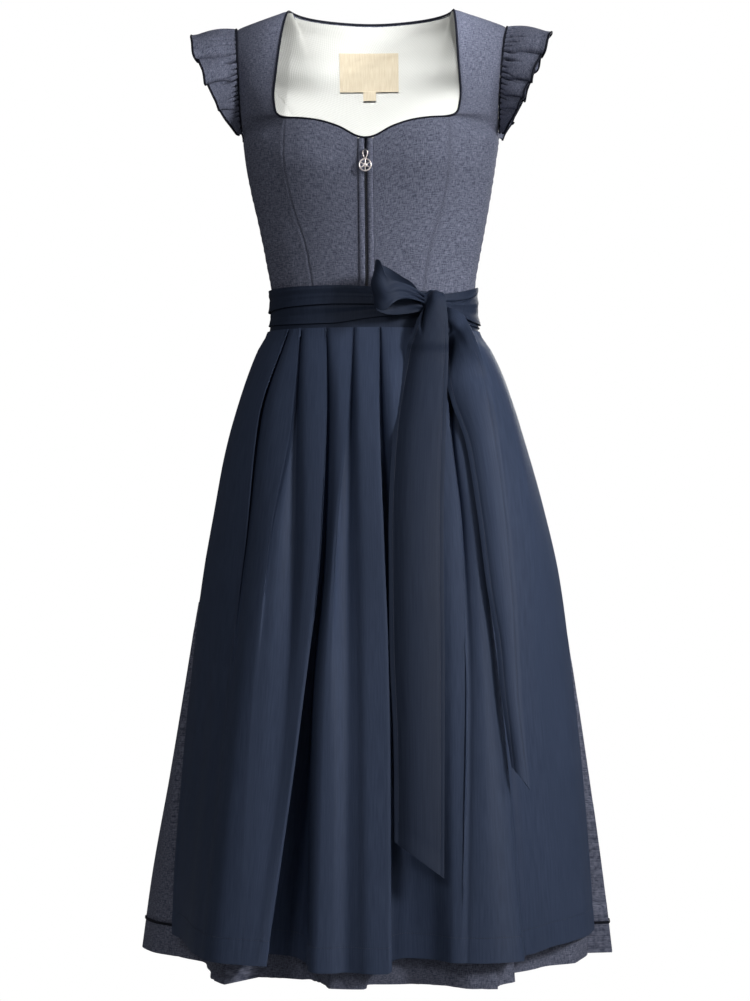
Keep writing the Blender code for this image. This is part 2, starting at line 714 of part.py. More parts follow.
# Ruffles
def ruffle():
    """Right cap ruffle, gathered on the armhole and waved at its outer edge."""
    seam = [Curve([(i, getattr(cap, axis)) for i, cap in enumerate(RUFFLE)]) for axis in ("x", "y", "z")]
    edge = [Curve([(i, getattr(cap, "out_" + axis)) for i, cap in enumerate(RUFFLE)])
            for axis in ("x", "y", "z")]
    steps = RUFFLE_WAVES * 4
    rows = 3
    grid = [[] for _ in range(rows + 1)]
    for j in range(steps + 1):
        s = j / steps * (len(RUFFLE) - 1)
        inner = mm(*(curve(s) for curve in seam)) + Vector((PLY, 0, 0))
        outer = mm(*(curve(s) for curve in edge))
        before = mm(*(curve(s - 0.2) for curve in seam))
        after = mm(*(curve(s + 0.2) for curve in seam))
        normal = (outer - inner).cross(after - before).normalized()
        fullness = min((outer - inner).length / RUFFLE_DEPTH, 1.0)
        swing = RUFFLE_SWING * math.sin(math.tau * RUFFLE_WAVES * j / steps)
        sag = RUFFLE_SAG * math.sin(math.tau * RUFFLE_SAG_WAVES * j / steps + RUFFLE_SAG_START)
        for i in range(rows + 1):
            v = i / rows
            grid[i].append(inner.lerp(outer, v) + normal * ((swing + sag) * fullness * v ** 1.3))
    return grid


def build_ruffles():
    grid = ruffle()
    sheet("ruffle_right", grid, RUFFLE_CLOTH, MELANGE, offset=0.0)
    sheet("ruffle_left", mirrored(grid), RUFFLE_CLOTH, MELANGE, offset=0.0)
    near = []
    far = []
    for inner, outer in zip(grid[-2], grid[-1]):
        away = (outer - inner).normalized()
        near.append(outer + away * PLY)
        far.append(outer + away * (PLY + BINDING_WIDTH))
    binding = [near, far]
    sheet("ruffle_binding_right", binding, BINDING, NAVY_TRIM, offset=0.0)
    sheet("ruffle_binding_left", mirrored(binding), BINDING, NAVY_TRIM, offset=0.0)


# Skirt and apron
def fold_tables(folds):
    """For each level from the top to the hem: turn and reach beyond the form, fold by fold."""
    turns = []
    outs = []
    for fold in folds:
        turns.append(Curve([(0, fold.top_turn), (MID_LEVEL, fold.mid_turn), (1, fold.hem_turn)]))
        hem_out = fold.hem_reach - form_radius(fold.hem_turn, HEM_Z) / MM
        outs.append(Curve([(0, fold.top_out), (MID_LEVEL, fold.mid_out), (1, hem_out)]))
    return turns, outs


APRON_TURNS, APRON_OUTS = fold_tables(APRON)
APRON_HEM = Curve([(fold.hem_turn, fold.hem_z * MM) for fold in APRON])


def fold_line(turns, outs, level):
    """Outline of the folds at one level, as a curve from turn to reach beyond the form."""
    return Curve([(turn(level), out(level) * MM) for turn, out in zip(turns, outs)], level_ends=True)


def fold_columns(line, steps):
    """Turns along a fold outline, with this many steps from each fold to the next."""
    row = []
    for a, b, count in zip(line.x, line.x[1:], steps):
        row += [blend(a, b, k / count) for k in range(count)]
    return row + [line.x[-1]]


def apron_reach(turn, z):
    """How far the apron's outer face lies from the mid-line, or None beside it or above it."""
    level = (z - APRON_TOP_Z) / (APRON_HEM(turn) - APRON_TOP_Z)
    if level < 0:
        return None
    line = fold_line(APRON_TURNS, APRON_OUTS, min(level, 1.0))
    if not line.x[0] - APRON_SKIRT_MARGIN <= turn <= line.x[-1] + APRON_SKIRT_MARGIN:
        return None
    return form_radius(turn, z) + line(turn)


def apron():
    steps = []
    for a, b in zip(APRON, APRON[1:]):
        width = (b.top_turn - a.top_turn + b.hem_turn - a.hem_turn) / 2
        steps.append(min(max(round(width / FOLD_STEP), 1), 4))
    grid = []
    for level in reversed(APRON_LEVELS):
        line = fold_line(APRON_TURNS, APRON_OUTS, level)
        points = []
        for turn in fold_columns(line, steps):
            z = blend(APRON_TOP_Z, APRON_HEM(turn), level)
            points.append(at(turn, z, form_radius(turn, z) + line(turn)))
        grid.append(points)
    return grid


def skirt(folds, steps):
    """A skirt panel. Under the apron it keeps clear of it."""
    turns, outs = fold_tables(folds)
    top = WAIST_SEAM_Z - SEAM
    grid = []
    for level in reversed(SKIRT_LEVELS):
        z = blend(top, HEM_Z, level)
        line = fold_line(turns, outs, level)
        row = fold_columns(line, [steps] * (len(folds) - 1))
        points = []
        for turn in row:
            reach = form_radius(turn, z) + line(turn)
            near = (turn + 180) % 360 - 180
            for limit in (apron_reach(near + shift, z) for shift in (-UNDER_WINDOW, 0, UNDER_WINDOW)):
                if limit is not None:
                    reach = min(reach, limit - blend(UNDER_APRON_TOP, UNDER_APRON_HEM, level))
            edge = math.degrees(SKIRT_SEAM / 2 / reach)
            if turn == row[0]:
                turn += edge
            if turn == row[-1]:
                turn -= edge
            points.append(at(turn, z, reach))
        grid.append(points)
    return grid


def build_tuck(name, grid):
    """The dark tuck round the skirt above its hem, laid on the skirt's own points."""
    out = lifted(grid, CLOTH / 2 + PLY)
    near = out[1]
    far = [low.lerp(high, TUCK_WIDTH / (high.z - low.z)) for low, high in zip(out[1], out[2])]
    sheet(name, [near, far], TUCK, NAVY_TRIM, offset=1.0)


def build_skirt():
    front = skirt(SKIRT_FRONT, 2)
    sheet("skirt_front", front, CLOTH, MELANGE, offset=0.0)
    back = skirt(SKIRT_BACK, 2)
    sheet("skirt_back", back, CLOTH, MELANGE, offset=0.0)
    build_tuck("hem_tuck_front", front)
    build_tuck("hem_tuck_back", back)
    sheet("apron", apron(), SATIN, SATIN_NAVY)


# Waistband and sash
def ring(edges):
    """Rows of points all round the waist. Each edge gives height and reach beyond the form."""
    grid = []
    for height, out in edges:
        row = []
        for k in range(RING_SIDES + 1):
            turn = -180 + 360 * k / RING_SIDES
            z = height(turn)
            row.append(form(turn, z, out))
        row[-1] = row[0].copy()
        grid.append(row)
    return grid


def build_sash():
    top = Curve([(edge.turn, edge.top * MM) for edge in SASH])
    middle = Curve([(edge.turn, edge.middle * MM) for edge in SASH])
    bottom = Curve([(edge.turn, edge.bottom * MM) for edge in SASH])
    band_bottom = APRON_TOP_Z + SEAM
    band = ring([(lambda turn: band_bottom, WAISTBAND_OUT),
                 (lambda turn: blend(band_bottom, WAIST_SEAM_Z, 0.5), WAISTBAND_OUT),
                 (lambda turn: WAIST_SEAM_Z, WAISTBAND_OUT)])
    sheet("apron_waistband", band, BAND, SATIN_NAVY, closed=True)
    lower = ring([(bottom, LOWER_WRAP_OUT), (lambda turn: middle(turn) + WRAP_OVERLAP, LOWER_WRAP_OUT)])
    sheet("sash_lower_wrap", lower, SATIN, SATIN_NAVY, closed=True)
    upper = ring([
        (middle, UPPER_WRAP_BOTTOM_OUT),
        (lambda turn: blend(middle(turn), top(turn), 0.5),
         blend(UPPER_WRAP_BOTTOM_OUT, UPPER_WRAP_TOP_OUT, 0.5)),
        (top, UPPER_WRAP_TOP_OUT),
    ])
    sheet("sash_upper_wrap", upper, SATIN, SATIN_NAVY, closed=True)


def strip(stations, columns):
    """A band lofted between two edges. Rows run along it."""
    return [[left.lerp(right, j / columns) for j in range(columns + 1)] for left, right in stations]


def smooth_stations(stations, steps):
    """More stations along a band, on smooth lines through the given ones."""
    axes = []
    for side in (0, 1):
        for axis in range(3):
            axes.append(Curve([(i, pair[side][axis]) for i, pair in enumerate(stations)]))
    result = []
    count = (len(stations) - 1) * steps
    for k in range(count + 1):
        s = k / steps
        values = [axis(s) for axis in axes]
        result.append((mm(*values[:3]), mm(*values[3:])))
    return result


def apron_front(x, z):
    """How far the apron stands out towards the front near this place."""
    best = 0.0
    for shift in (-0.012, -0.006, 0.0, 0.006, 0.012):
        turn = turn_at(x + shift, max(z, HEM_Z + 0.001))
        reach = apron_reach(turn, z)
        if reach is not None:
            best = max(best, reach * math.cos(math.radians(turn)))
    return best


def tail(table):
    """A hanging end of the sash: it falls in front of the apron."""
    rows = []
    for row in table:
        across = [blend(row.left_x, row.right_x, k / 4) * MM for k in range(5)]
        edges = []
        for x, z in ((row.left_x, row.left_z), (row.right_x, row.right_z)):
            depth = row.depth * MM
            if not depth:
                depth = max(apron_front(place, z * MM) for place in across) + TAIL_CLEAR
            edges.append(Vector((x * MM, -depth, z * MM)))
        rows.append(edges)
    grid = strip(rows, 3)
    return list(reversed(grid))


def build_bow():
    centre = form(KNOT_TURN, KNOT_Z, KNOT_OUT)
    mesh = bpy.data.meshes.new("bow_knot")
    bm = bmesh.new()
    bmesh.ops.create_uvsphere(bm, u_segments=14, v_segments=8, radius=1.0)
    bmesh.ops.scale(bm, verts=bm.verts, vec=(KNOT_ACROSS, KNOT_DEEP, KNOT_HIGH))
    bm.to_mesh(mesh)
    bm.free()
    mesh.shade_smooth()
    knot = add_object("bow_knot", mesh, SATIN_NAVY)
    knot.location = centre
    knot.rotation_euler = (0, 0, math.radians(KNOT_TURN))
    loop = strip(smooth_stations(LOOP, 2), 3)
    sheet("bow_loop", [list(reversed(row)) for row in loop], SATIN, SATIN_NAVY, offset=0.0)
    sheet("bow_tail_main", tail(MAIN_TAIL), SATIN, SATIN_NAVY, offset=0.0)
    sheet("bow_tail_second", tail(SECOND_TAIL), SATIN, SATIN_NAVY, offset=0.0)


# Zip
def build_zip():
    rows = 9
    lip = []
    tape = []
    for i in range(rows + 1):
        z = blend(PLACKET_BOTTOM_Z, PLACKET_TOP_Z, i / rows)
        lip.append([form(turn_at(x, z), z, PLACKET_OUT) for x in (SLOT_HALF, PLACKET_HALF - SEAM)])
        tape.append([form(turn_at(x, z), z, -TAPE_INSET)
                     for x in (-TAPE_HALF, -TAPE_HALF / 3, TAPE_HALF / 3, TAPE_HALF)])
    sheet("placket_right", lip, PLACKET, MELANGE)
    sheet("placket_left", mirrored(lip), PLACKET, MELANGE)
    sheet("zip_tape", tape, TAPE, NAVY_TRIM)
    build_slider()
    build_pull()


def flat_outline(name, outlines, half_thick):
    """A flat 2D curve with its holes, given a thickness."""
    curve = bpy.data.curves.new(name, "CURVE")
    curve.dimensions = "2D"
    curve.fill_mode = "BOTH"
    curve.extrude = half_thick
    for outline in outlines:
        spline = curve.splines.new("POLY")
        spline.points.add(len(outline) - 1)
        spline.use_cyclic_u = True
        for point, (x, y) in zip(spline.points, outline):
            point.co = (x, y, 0, 1)
    return curve


def build_slider():
    """Slider with its bridge, cut from one side outline and set through the slot of the placket."""
    back = SLIDER_BACK_Y - HINGE_Y
    front = SLIDER_FRONT_Y - HINGE_Y
    low = SLIDER_LOW_Z - HINGE_Z
    high = SLIDER_HIGH_Z - HINGE_Z
    half_arc = math.acos(-front / BRIDGE)
    angles = [half_arc * (1 - k / 7) for k in range(15)]
    hoop = [(-BRIDGE * math.cos(angle), BRIDGE * math.sin(angle)) for angle in angles]
    outline = [(back, low), (back, high), (front, high)] + hoop + [(front, low)]
    hole = [(EYE * math.sin(math.tau * k / 12), EYE * math.cos(math.tau * k / 12)) for k in range(12)]
    curve = flat_outline("zip_slider", [outline, hole], SLIDER_WIDTH / 2)
    slider = add_object("zip_slider", curve, SILVER)
    slider.location = (0, HINGE_Y, HINGE_Z)
    slider.rotation_euler = (math.radians(90), 0, math.radians(90))


def as_cutter(name, mesh):
    """A shape that is only joined to another one."""
    item = bpy.data.objects.new(name, mesh)
    CUTTERS.objects.link(item)
    item.hide_render = True
    item.display_type = "WIRE"
    item.location = (0, HINGE_Y, HINGE_Z)
    return item


def pull_loop():
    """The wire loop of the pull, from its crossbar down to the charm."""
    curve = bpy.data.curves.new("pull_loop_path", "CURVE")
    curve.dimensions = "3D"
    curve.bevel_depth = CROSSBAR
    curve.bevel_resolution = 1
    spline = curve.splines.new("POLY")
    points = [(-LOOP_HALF, 0), (LOOP_HALF, 0), (LOOP_HALF, -LOOP_STRAIGHT), (0.0008, -LOOP_DROP),
              (-0.0008, -LOOP_DROP), (-LOOP_HALF, -LOOP_STRAIGHT)]
    spline.points.add(len(points) - 1)
    spline.use_cyclic_u = True
    for point, (x, z) in zip(spline.points, points):
        point.co = (x, 0, z, 1)
    path = bpy.data.objects.new("pull_loop_path", curve)
    CUTTERS.objects.link(path)
    graph = bpy.context.evaluated_depsgraph_get()
    mesh = bpy.data.meshes.new_from_object(path.evaluated_get(graph))
    bpy.data.objects.remove(path, do_unlink=True)
    return as_cutter("pull_loop", mesh)


def cylinder_mesh(name, radius, length, sides, rotation, location):
    bm = bmesh.new()
    bmesh.ops.create_cone(bm, cap_ends=True, segments=sides, radius1=radius, radius2=radius, depth=length)
    bmesh.ops.rotate(bm, verts=bm.verts, matrix=rotation)
    bmesh.ops.translate(bm, verts=bm.verts, vec=location)
    mesh = bpy.data.meshes.new(name)
    bm.to_mesh(mesh)
    bm.free()
    return mesh


def build_pull():
    """The pull: a wire loop and a round open charm with plain spokes. Its origin is on the hinge."""
    bpy.ops.mesh.primitive_torus_add(major_segments=20, minor_segments=6, major_radius=CHARM_RADIUS,
                                     minor_radius=CHARM_WIRE)
    ring = bpy.context.object
    for collection in list(ring.users_collection):
        collection.objects.unlink(ring)
    DIRNDL.objects.link(ring)
    ring.name = "zip_pull"
    ring.data.name = "zip_pull"
    ring.data.materials.append(SILVER)
    turn = Matrix.Rotation(math.radians(90), 4, "X")
    ring.data.transform(Matrix.Translation((0, 0, -CHARM_DROP)) @ turn)
    ring.location = (0, HINGE_Y, HINGE_Z)
    parts = [pull_loop()]
    centre = Vector((0, 0, -CHARM_DROP))
    boss = cylinder_mesh("pull_boss", BOSS_RADIUS, 0.0017, 12, turn.to_3x3(), centre)
    parts.append(as_cutter("pull_boss", boss))
    for k in range(3):
        spin = Matrix.Rotation(math.radians(90 + 60 * k), 3, "Y")
        spoke = cylinder_mesh(f"pull_spoke_{k + 1}", SPOKE, 2 * CHARM_RADIUS, 6, spin, centre)
        parts.append(as_cutter(f"pull_spoke_{k + 1}", spoke))
    for item in parts:
        join = ring.modifiers.new(item.name, "BOOLEAN")
        join.operation = "UNION"
        join.object = item


# Label
def flat_patch(name, spec, surface):
    """A small cloth label that follows the inside of the back."""
    middle, top, width, height = spec
    columns = 6
    rows = 3
    back = [[p - outward(p) * (CLOTH + PLY + LINING) for p in row] for row in centre_back()]
    grid = []
    for i in range(rows + 1):
        z = top - height * (1 - i / rows)
        line = []
        for j in range(columns + 1):
            x = middle + width * (0.5 - j / columns)
            line.append(Vector((x, depth_of(back, x, z) - LABEL_CLEAR, z)))
        grid.append(line)
    sheet(name, grid, LABEL_CLOTH, surface)


def straight(pairs, x):
    """Height of a line of straight pieces through number pairs."""
    pairs = sorted(pairs)
    i = 0
    while i < len(pairs) - 2 and x > pairs[i + 1][0]:
        i += 1
    (x0, y0), (x1, y1) = pairs[i:i + 2]
    return blend(y0, y1, (x - x0) / (x1 - x0))


def depth_of(grid, x, z):
    """Depth of a back panel's flat pieces at a place."""
    profile = []
    for j in range(len(grid[0])):
        across = straight([(row[j].z, row[j].x) for row in grid], z)
        deep = straight([(row[j].z, row[j].y) for row in grid], z)
        profile.append((across, deep))
    return straight(profile, x)


def build_label():
    flat_patch("label", LABEL, CREAM)
    flat_patch("size_tab", SIZE_TAB, CREAM)


clear_scene()
DIRNDL = new_collection("dirndl")
CUTTERS = new_collection("cutters")
MELANGE = material("melange_cloth", (0.13, 0.135, 0.19), 0.9)
SATIN_NAVY = material("navy_satin", (0.030, 0.038, 0.066), 0.5)
NAVY_TRIM = material("navy_trim", (0.012, 0.014, 0.030), 0.7)
OFF_WHITE = material("off_white_lining", (0.80, 0.81, 0.78), 0.85)
CREAM = material("cream_label", (0.83, 0.74, 0.56), 0.8)
SILVER = material("silver_metal", (0.78, 0.74, 0.72), 0.25, 1.0)

build_bodice()
build_lining()
build_neck_piping()
build_ruffles()
build_skirt()
build_sash()
build_bow()
build_zip()
build_label()
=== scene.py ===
"""The looks of the dirndl: its cloth, sewing, sash, bow and zip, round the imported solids.

Each cloth piece is a fine sheet on the form of its solid, with its folds, creases and sewing.
Lengths are in metres, and tables that say mm are in millimetres. A turn is an angle about the mid-line,
in degrees from the front towards +X. The names left and right are as seen from the front.
"""

import math
from collections import namedtuple
from functools import partial

import bmesh
import bpy
from mathutils import Matrix, Vector


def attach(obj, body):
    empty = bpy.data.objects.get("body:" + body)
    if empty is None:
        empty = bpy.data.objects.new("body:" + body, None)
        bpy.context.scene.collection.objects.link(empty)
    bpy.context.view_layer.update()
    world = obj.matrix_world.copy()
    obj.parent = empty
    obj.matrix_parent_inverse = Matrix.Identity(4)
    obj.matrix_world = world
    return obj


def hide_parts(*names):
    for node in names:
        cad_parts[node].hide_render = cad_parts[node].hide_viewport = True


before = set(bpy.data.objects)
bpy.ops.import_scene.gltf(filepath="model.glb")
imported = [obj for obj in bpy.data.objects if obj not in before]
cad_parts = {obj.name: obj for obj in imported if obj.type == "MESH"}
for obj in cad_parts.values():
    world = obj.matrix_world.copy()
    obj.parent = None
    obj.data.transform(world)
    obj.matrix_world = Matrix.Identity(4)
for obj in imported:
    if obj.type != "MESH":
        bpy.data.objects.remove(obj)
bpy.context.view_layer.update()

MM = 0.001
TAU = math.tau

# Gaps between sewn panels and between layers of cloth, and the bodice's wall
SEAM = 0.00012
PLY = 0.0006
BODICE_CLOTH = 0.0012

# Walls of the other cloth pieces
SKIRT_CLOTH = 0.0012
BAND_CLOTH = 0.0012
SASH_CLOTH = 0.0011
THIN_CLOTH = 0.0010
FOLDED_CLOTH = 0.0009
LINING_CLOTH = 0.0008
RIBBON = 0.0007

WAIST_SEAM_Z = -0.3520
UNDERARM_Z = -0.158
HEM_Z = -1.127
APRON_TOP_Z = -0.3875

# Half the width of the two folded lips over the zip
PLACKET_HALF = 0.0092

# The body form, at each height: its half widths, its depths and how square it is
Section = namedtuple("Section", "z left right front back square")
FORM = [Section(*row) for row in (
    (0, 0.163, 0.164, 0.050, 0.076, 3), (-0.030, 0.164, 0.165, 0.066, 0.083, 3),
    (-0.060, 0.165, 0.166, 0.082, 0.090, 3), (-0.090, 0.164, 0.165, 0.096, 0.095, 2.9),
    (-0.120, 0.1595, 0.160, 0.109, 0.098, 2.6), (-0.150, 0.154, 0.155, 0.117, 0.098, 2.4),
    (-0.190, 0.150, 0.1495, 0.119, 0.095, 2.3), (-0.220, 0.1445, 0.145, 0.113, 0.092, 2.2),
    (-0.250, 0.1375, 0.140, 0.1065, 0.089, 2.2), (-0.280, 0.131, 0.1345, 0.101, 0.087, 2.2),
    (-0.310, 0.1255, 0.129, 0.0965, 0.086, 2.2), (-0.335, 0.120, 0.125, 0.093, 0.086, 2.2),
    (-0.360, 0.1165, 0.1235, 0.092, 0.087, 2.2), (-0.3875, 0.1195, 0.1265, 0.0945, 0.091, 2.2),
    (-0.410, 0.1315, 0.141, 0.101, 0.098, 2.2), (-0.440, 0.143, 0.155, 0.113, 0.109, 2.2),
    (-0.480, 0.1555, 0.169, 0.128, 0.122, 2.2), (-0.520, 0.1665, 0.181, 0.141, 0.133, 2.2),
    (-0.600, 0.184, 0.204, 0.163, 0.152, 2.15), (-0.680, 0.2016, 0.2238, 0.182, 0.168, 2.1),
    (-0.800, 0.2214, 0.243, 0.207, 0.190, 2.1), (-0.920, 0.2418, 0.261, 0.229, 0.209, 2.1),
    (-1.040, 0.2634, 0.2778, 0.249, 0.226, 2.1), (-1.127, 0.2754, 0.2886, 0.262, 0.238, 2.1))]

# The cups: a soft swell each side of the zip
CUP_RISE = 0.010
CUP_TURN = 40.0
CUP_SPREAD_TURN = 24.0
CUP_Z = -0.185
CUP_SPREAD_Z = 0.048

# Front princess seam from the waist up, as heights and distances from the mid-line, and the front neckline
# between the two princess seams, as distances from the mid-line and heights
PRINCESS = [(-0.352, 0.0650), (-0.320, 0.0682), (-0.291, 0.0734), (-0.257, 0.0844), (-0.220, 0.0930),
            (-0.179, 0.0970), (-0.1445, 0.0955)]
NECKLINE = [(0.000, -0.1735), (0.008, -0.1700), (0.020, -0.1636), (0.037, -0.1555), (0.060, -0.1490),
            (0.080, -0.1462), (0.0955, -0.1445)]

# Side front: heights up the princess seam and up the side seam, as far as the underarm. Its strap, up to the
# shoulder, in mm: the neck edge's place, the armhole edge's place and the swell between them
FRONT_SEAM_ROWS = [(-0.3515, -0.3515), (-0.320, -0.318), (-0.287, -0.285), (-0.254, -0.252),
                   (-0.222, -0.220), (-0.192, -0.188), (-0.165, UNDERARM_Z)]
STRAP = [(95.5, -104.5, -144.5, 153.5, -29, -148, 5), (106, -99, -139, 154, -42, -132, 5),
         (109.5, -94, -126, 154.5, -47, -115, 5), (110.5, -90, -111, 155.5, -50, -95, 4.5),
         (108.5, -81, -84, 157, -46, -72, 4), (106, -62, -49, 159, -36, -50, 3.5),
         (103.5, -36, -18, 161.5, -18, -31, 3), (101.5, -18, -4.5, 162.4, -7, -23.6, 0.6),
         (100.2, -2, -0.4, 162.6, -0.8, -21.6, 0.6)]
SHOULDER_SWELL = 0.0006

# Back princess seam: heights on the centre back, distances from the mid-line and heights on the mid-line
BACK_SEAM_ROWS = [(-0.3515, 0.050, -0.3515), (-0.315, 0.053, -0.320), (-0.280, 0.058, -0.288),
                  (-0.245, 0.064, -0.256), (-0.210, 0.071, -0.222), (-0.175, 0.079, -0.188),
                  (-0.140, 0.090, -0.154), (-0.108, 0.106, -0.122), (-0.080, 0.128, -0.092)]

# Top of the back, in mm: y and z on the mid-line, the place where the neck curve ends, the armhole edge's
# place and the curve's sweep in degrees
BACK_TOP = [(91, -64, 88, 75, -62, 157.3, 47, -61, 45), (87, -42, 91.5, 62, -40, 160.5, 34, -42, 60),
            (81.5, -22, 96, 36, -15.5, 162, 16, -28, 80),
            (76.5, -4.5, 100.2, -1.3, -0.4, 162.6, 0.2, -21.6, 90)]

# Side back: heights on its own side of the back princess seam and up the side seam, and its points up the
# armhole above the side seam, in mm
SIDE_BACK_ROWS = [(-0.3515, -0.3515), (-0.315, -0.318), (-0.280, -0.285), (-0.245, -0.252),
                  (-0.210, -0.220), (-0.175, -0.188), (-0.140, UNDERARM_Z)]
SIDE_BACK_TOP = [(153.5, 30, -147), (154.6, 47, -120), (156.2, 51, -84)]

# Columns of points across the panels
FRONT_COLUMNS = 4
SIDE_COLUMNS = 3
NECK_COLUMNS = 5
SHOULDER_COLUMNS = 3


def blend(a, b, t):
    return a + (b - a) * t


def ridge(share, middle, width):
    return math.exp(-((share - middle) / width) ** 2)


def mm(*values):
    return Vector(values) * MM


class Curve:
    """A smooth line through number pairs that never swings past them."""

    def __init__(self, pairs, level_ends=False):
        self.x, self.y = zip(*sorted(pairs))
        steps = [b - a for a, b in zip(self.x, self.x[1:])]
        rises = [(b - a) / step for a, b, step in zip(self.y, self.y[1:], steps)]
        self.slope = [rises[0]]
        for before, after in zip(rises, rises[1:]):
            same_way = before * after > 0
            self.slope.append(2 * before * after / (before + after) if same_way else 0.0)
        self.slope.append(rises[-1])
        if level_ends:
            self.slope[0] = self.slope[-1] = 0.0

    def __call__(self, x):
        x = min(max(x, self.x[0]), self.x[-1])
        i = 0
        while i < len(self.x) - 2 and x > self.x[i + 1]:
            i += 1
        step = self.x[i + 1] - self.x[i]
        t = (x - self.x[i]) / step
        return (self.y[i] * (1 + 2 * t) * (1 - t) ** 2 + self.slope[i] * step * t * (1 - t) ** 2
                + self.y[i + 1] * t * t * (3 - 2 * t) + self.slope[i + 1] * step * t * t * (t - 1))


def numbered_curve(values):
    """A smooth line through values at the places 0, 1, 2 and so on."""
    return Curve(enumerate(values))


LEFT, RIGHT, FRONT, BACK, SQUARE = (Curve([(row.z, getattr(row, field)) for row in FORM])
                                    for field in ("left", "right", "front", "back", "square"))
PRINCESS_X = Curve(PRINCESS)
NECK_Z = Curve(NECKLINE)


def form_radius(turn, z):
    """Distance of the body form from the mid-line."""
    turn = (turn + 180) % 360 - 180
    across = math.sin(math.radians(turn))
    ahead = math.cos(math.radians(turn))
    side = RIGHT(z) if across > 0 else LEFT(z)
    depth = FRONT(z) if ahead > 0 else BACK(z)
    power = SQUARE(z)
    radius = (abs(across / side) ** power + abs(ahead / depth) ** power) ** (-1 / power)
    return radius + CUP_RISE * ridge(abs(turn), CUP_TURN, CUP_SPREAD_TURN) * ridge(z, CUP_Z, CUP_SPREAD_Z)


def at(turn, z, reach):
    angle = math.radians(turn)
    return Vector((reach * math.sin(angle), -reach * math.cos(angle), z))


def form(turn, z, out=0.0):
    """Point on the body form, moved out from the mid-line."""
    return at(turn, z, form_radius(turn, z) + out)


def turn_at(x, z, behind=False):
    """Turn at which the body form has this x, on the front or on the back."""
    side = 1 if x >= 0 else -1
    low, high = (90.0, 180.0) if behind else (0.0, 90.0)
    for _ in range(40):
        middle = (low + high) / 2
        reach = abs(form(side * middle, z).x)
        if (reach < abs(x)) != behind:
            low = middle
        else:
            high = middle
    return side * (low + high) / 2


def mirrored_point(point):
    """The same place on the other side, as far beyond the body form as it is here."""
    turn = math.degrees(math.atan2(point.x, -point.y))
    return form(-turn, point.z, math.hypot(point.x, point.y) - form_radius(turn, point.z))


def mirrored(grid):
    """The same panel on the other side, with its columns turned round so that it still faces out."""
    return [[mirrored_point(p) for p in reversed(row)] for row in grid]


def both_sides(name, grid):
    """A right panel and its mirror image, with their names."""
    return (name + "_right", grid), (name + "_left", mirrored(grid))


def outward(point):
    """Direction out of the bodice, which depends on the place only, so that seams stay parallel."""
    rise = 0.15 * max(0.0, 1 + point.z / 0.10) ** 2
    return Vector((point.x * 0.45, point.y, rise)).normalized()


def grid_normals(grid):
    """Outward direction at each point of a grid whose columns run with the turn and rows run up."""
    normals = []
    for i, row in enumerate(grid):
        line = []
        for j in range(len(row)):
            across = row[min(j + 1, len(row) - 1)] - row[max(j - 1, 0)]
            up = grid[min(i + 1, len(grid) - 1)][j] - grid[max(i - 1, 0)][j]
            line.append(across.cross(up).normalized())
        normals.append(line)
    return normals


def relieved(grid, relief):
    """The grid's points moved out from its surface by relief(point, row, column)."""
    return [[p + n * relief(p, i, j) for j, (p, n) in enumerate(zip(row, line))]
            for i, (row, line) in enumerate(zip(grid, grid_normals(grid)))]


def span(points):
    return sum((b - a).length for a, b in zip(points, points[1:]))


def runs_along(points):
    """How far along a line each of its points is."""
    runs = [0.0]
    for a, b in zip(points, points[1:]):
        runs.append(runs[-1] + (b - a).length)
    return runs


def through(values, s):
    """A smooth curve through evenly numbered values, at the place s."""
    i = min(int(s), len(values) - 2)
    t = s - i
    start, end = values[i], values[i + 1]
    before = (end - values[i - 1]) * 0.5 if i > 0 else end - start
    after = (values[i + 2] - start) * 0.5 if i + 2 < len(values) else end - start
    return (start * ((1 + 2 * t) * (1 - t) ** 2) + before * (t * (1 - t) ** 2)
            + end * (t * t * (3 - 2 * t)) + after * (t * t * (t - 1)))


# Extra columns near a panel's side edges, as parts of one of its coarse steps
EDGE_PLACES = (0.02, 0.05, 0.09, 0.16)


def finer(grid, steps, edge=EDGE_PLACES, column_steps=None):
    """The smooth surface through a grid, each step in so many, with extra columns at its sides."""
    rows, columns = len(grid) - 1, len(grid[0]) - 1
    down = [k / steps for k in range(rows * steps + 1)]
    steps = column_steps or steps
    sides = list(edge) + [columns - place for place in edge]
    across = sorted([k / steps for k in range(columns * steps + 1)] + sides)
    tall = [[through([line[j] for line in grid], s) for j in range(columns + 1)] for s in down]
    return [[through(line, s) for s in across] for line in tall]


def stations(count, spot):
    """A spot at each of so many even steps from 0 to 1."""
    return [spot(k / count) for k in range(count + 1)]


# Panels of the bodice
def centre_front():
    """Right centre front, from the placket to the princess seam."""
    low = FRONT_SEAM_ROWS[0][0]
    neck_x, high = NECKLINE[-1]

    def spot(seam_z, u):
        top = NECK_Z(blend(PLACKET_HALF, neck_x, u))
        z = blend(low, top, (seam_z - low) / (high - low))
        return form(turn_at(blend(PLACKET_HALF, PRINCESS_X(seam_z) - SEAM / 2, u), z), z)

    return [stations(FRONT_COLUMNS, partial(spot, z)) for z in [row[0] for row in FRONT_SEAM_ROWS] + [high]]


def swelled(start, end, columns, swell):
    """Points across a panel from edge to edge, with its soft swell."""
    def spot(u):
        point = start.lerp(end, u)
        return point + outward(point) * (swell * 4 * u * (1 - u))

    return stations(columns, spot)


def slanted(turns, heights):
    """Points of the form across a side panel, from one turn and height to the other."""
    return stations(SIDE_COLUMNS, lambda u: form(blend(*turns, u), blend(*heights, u)))


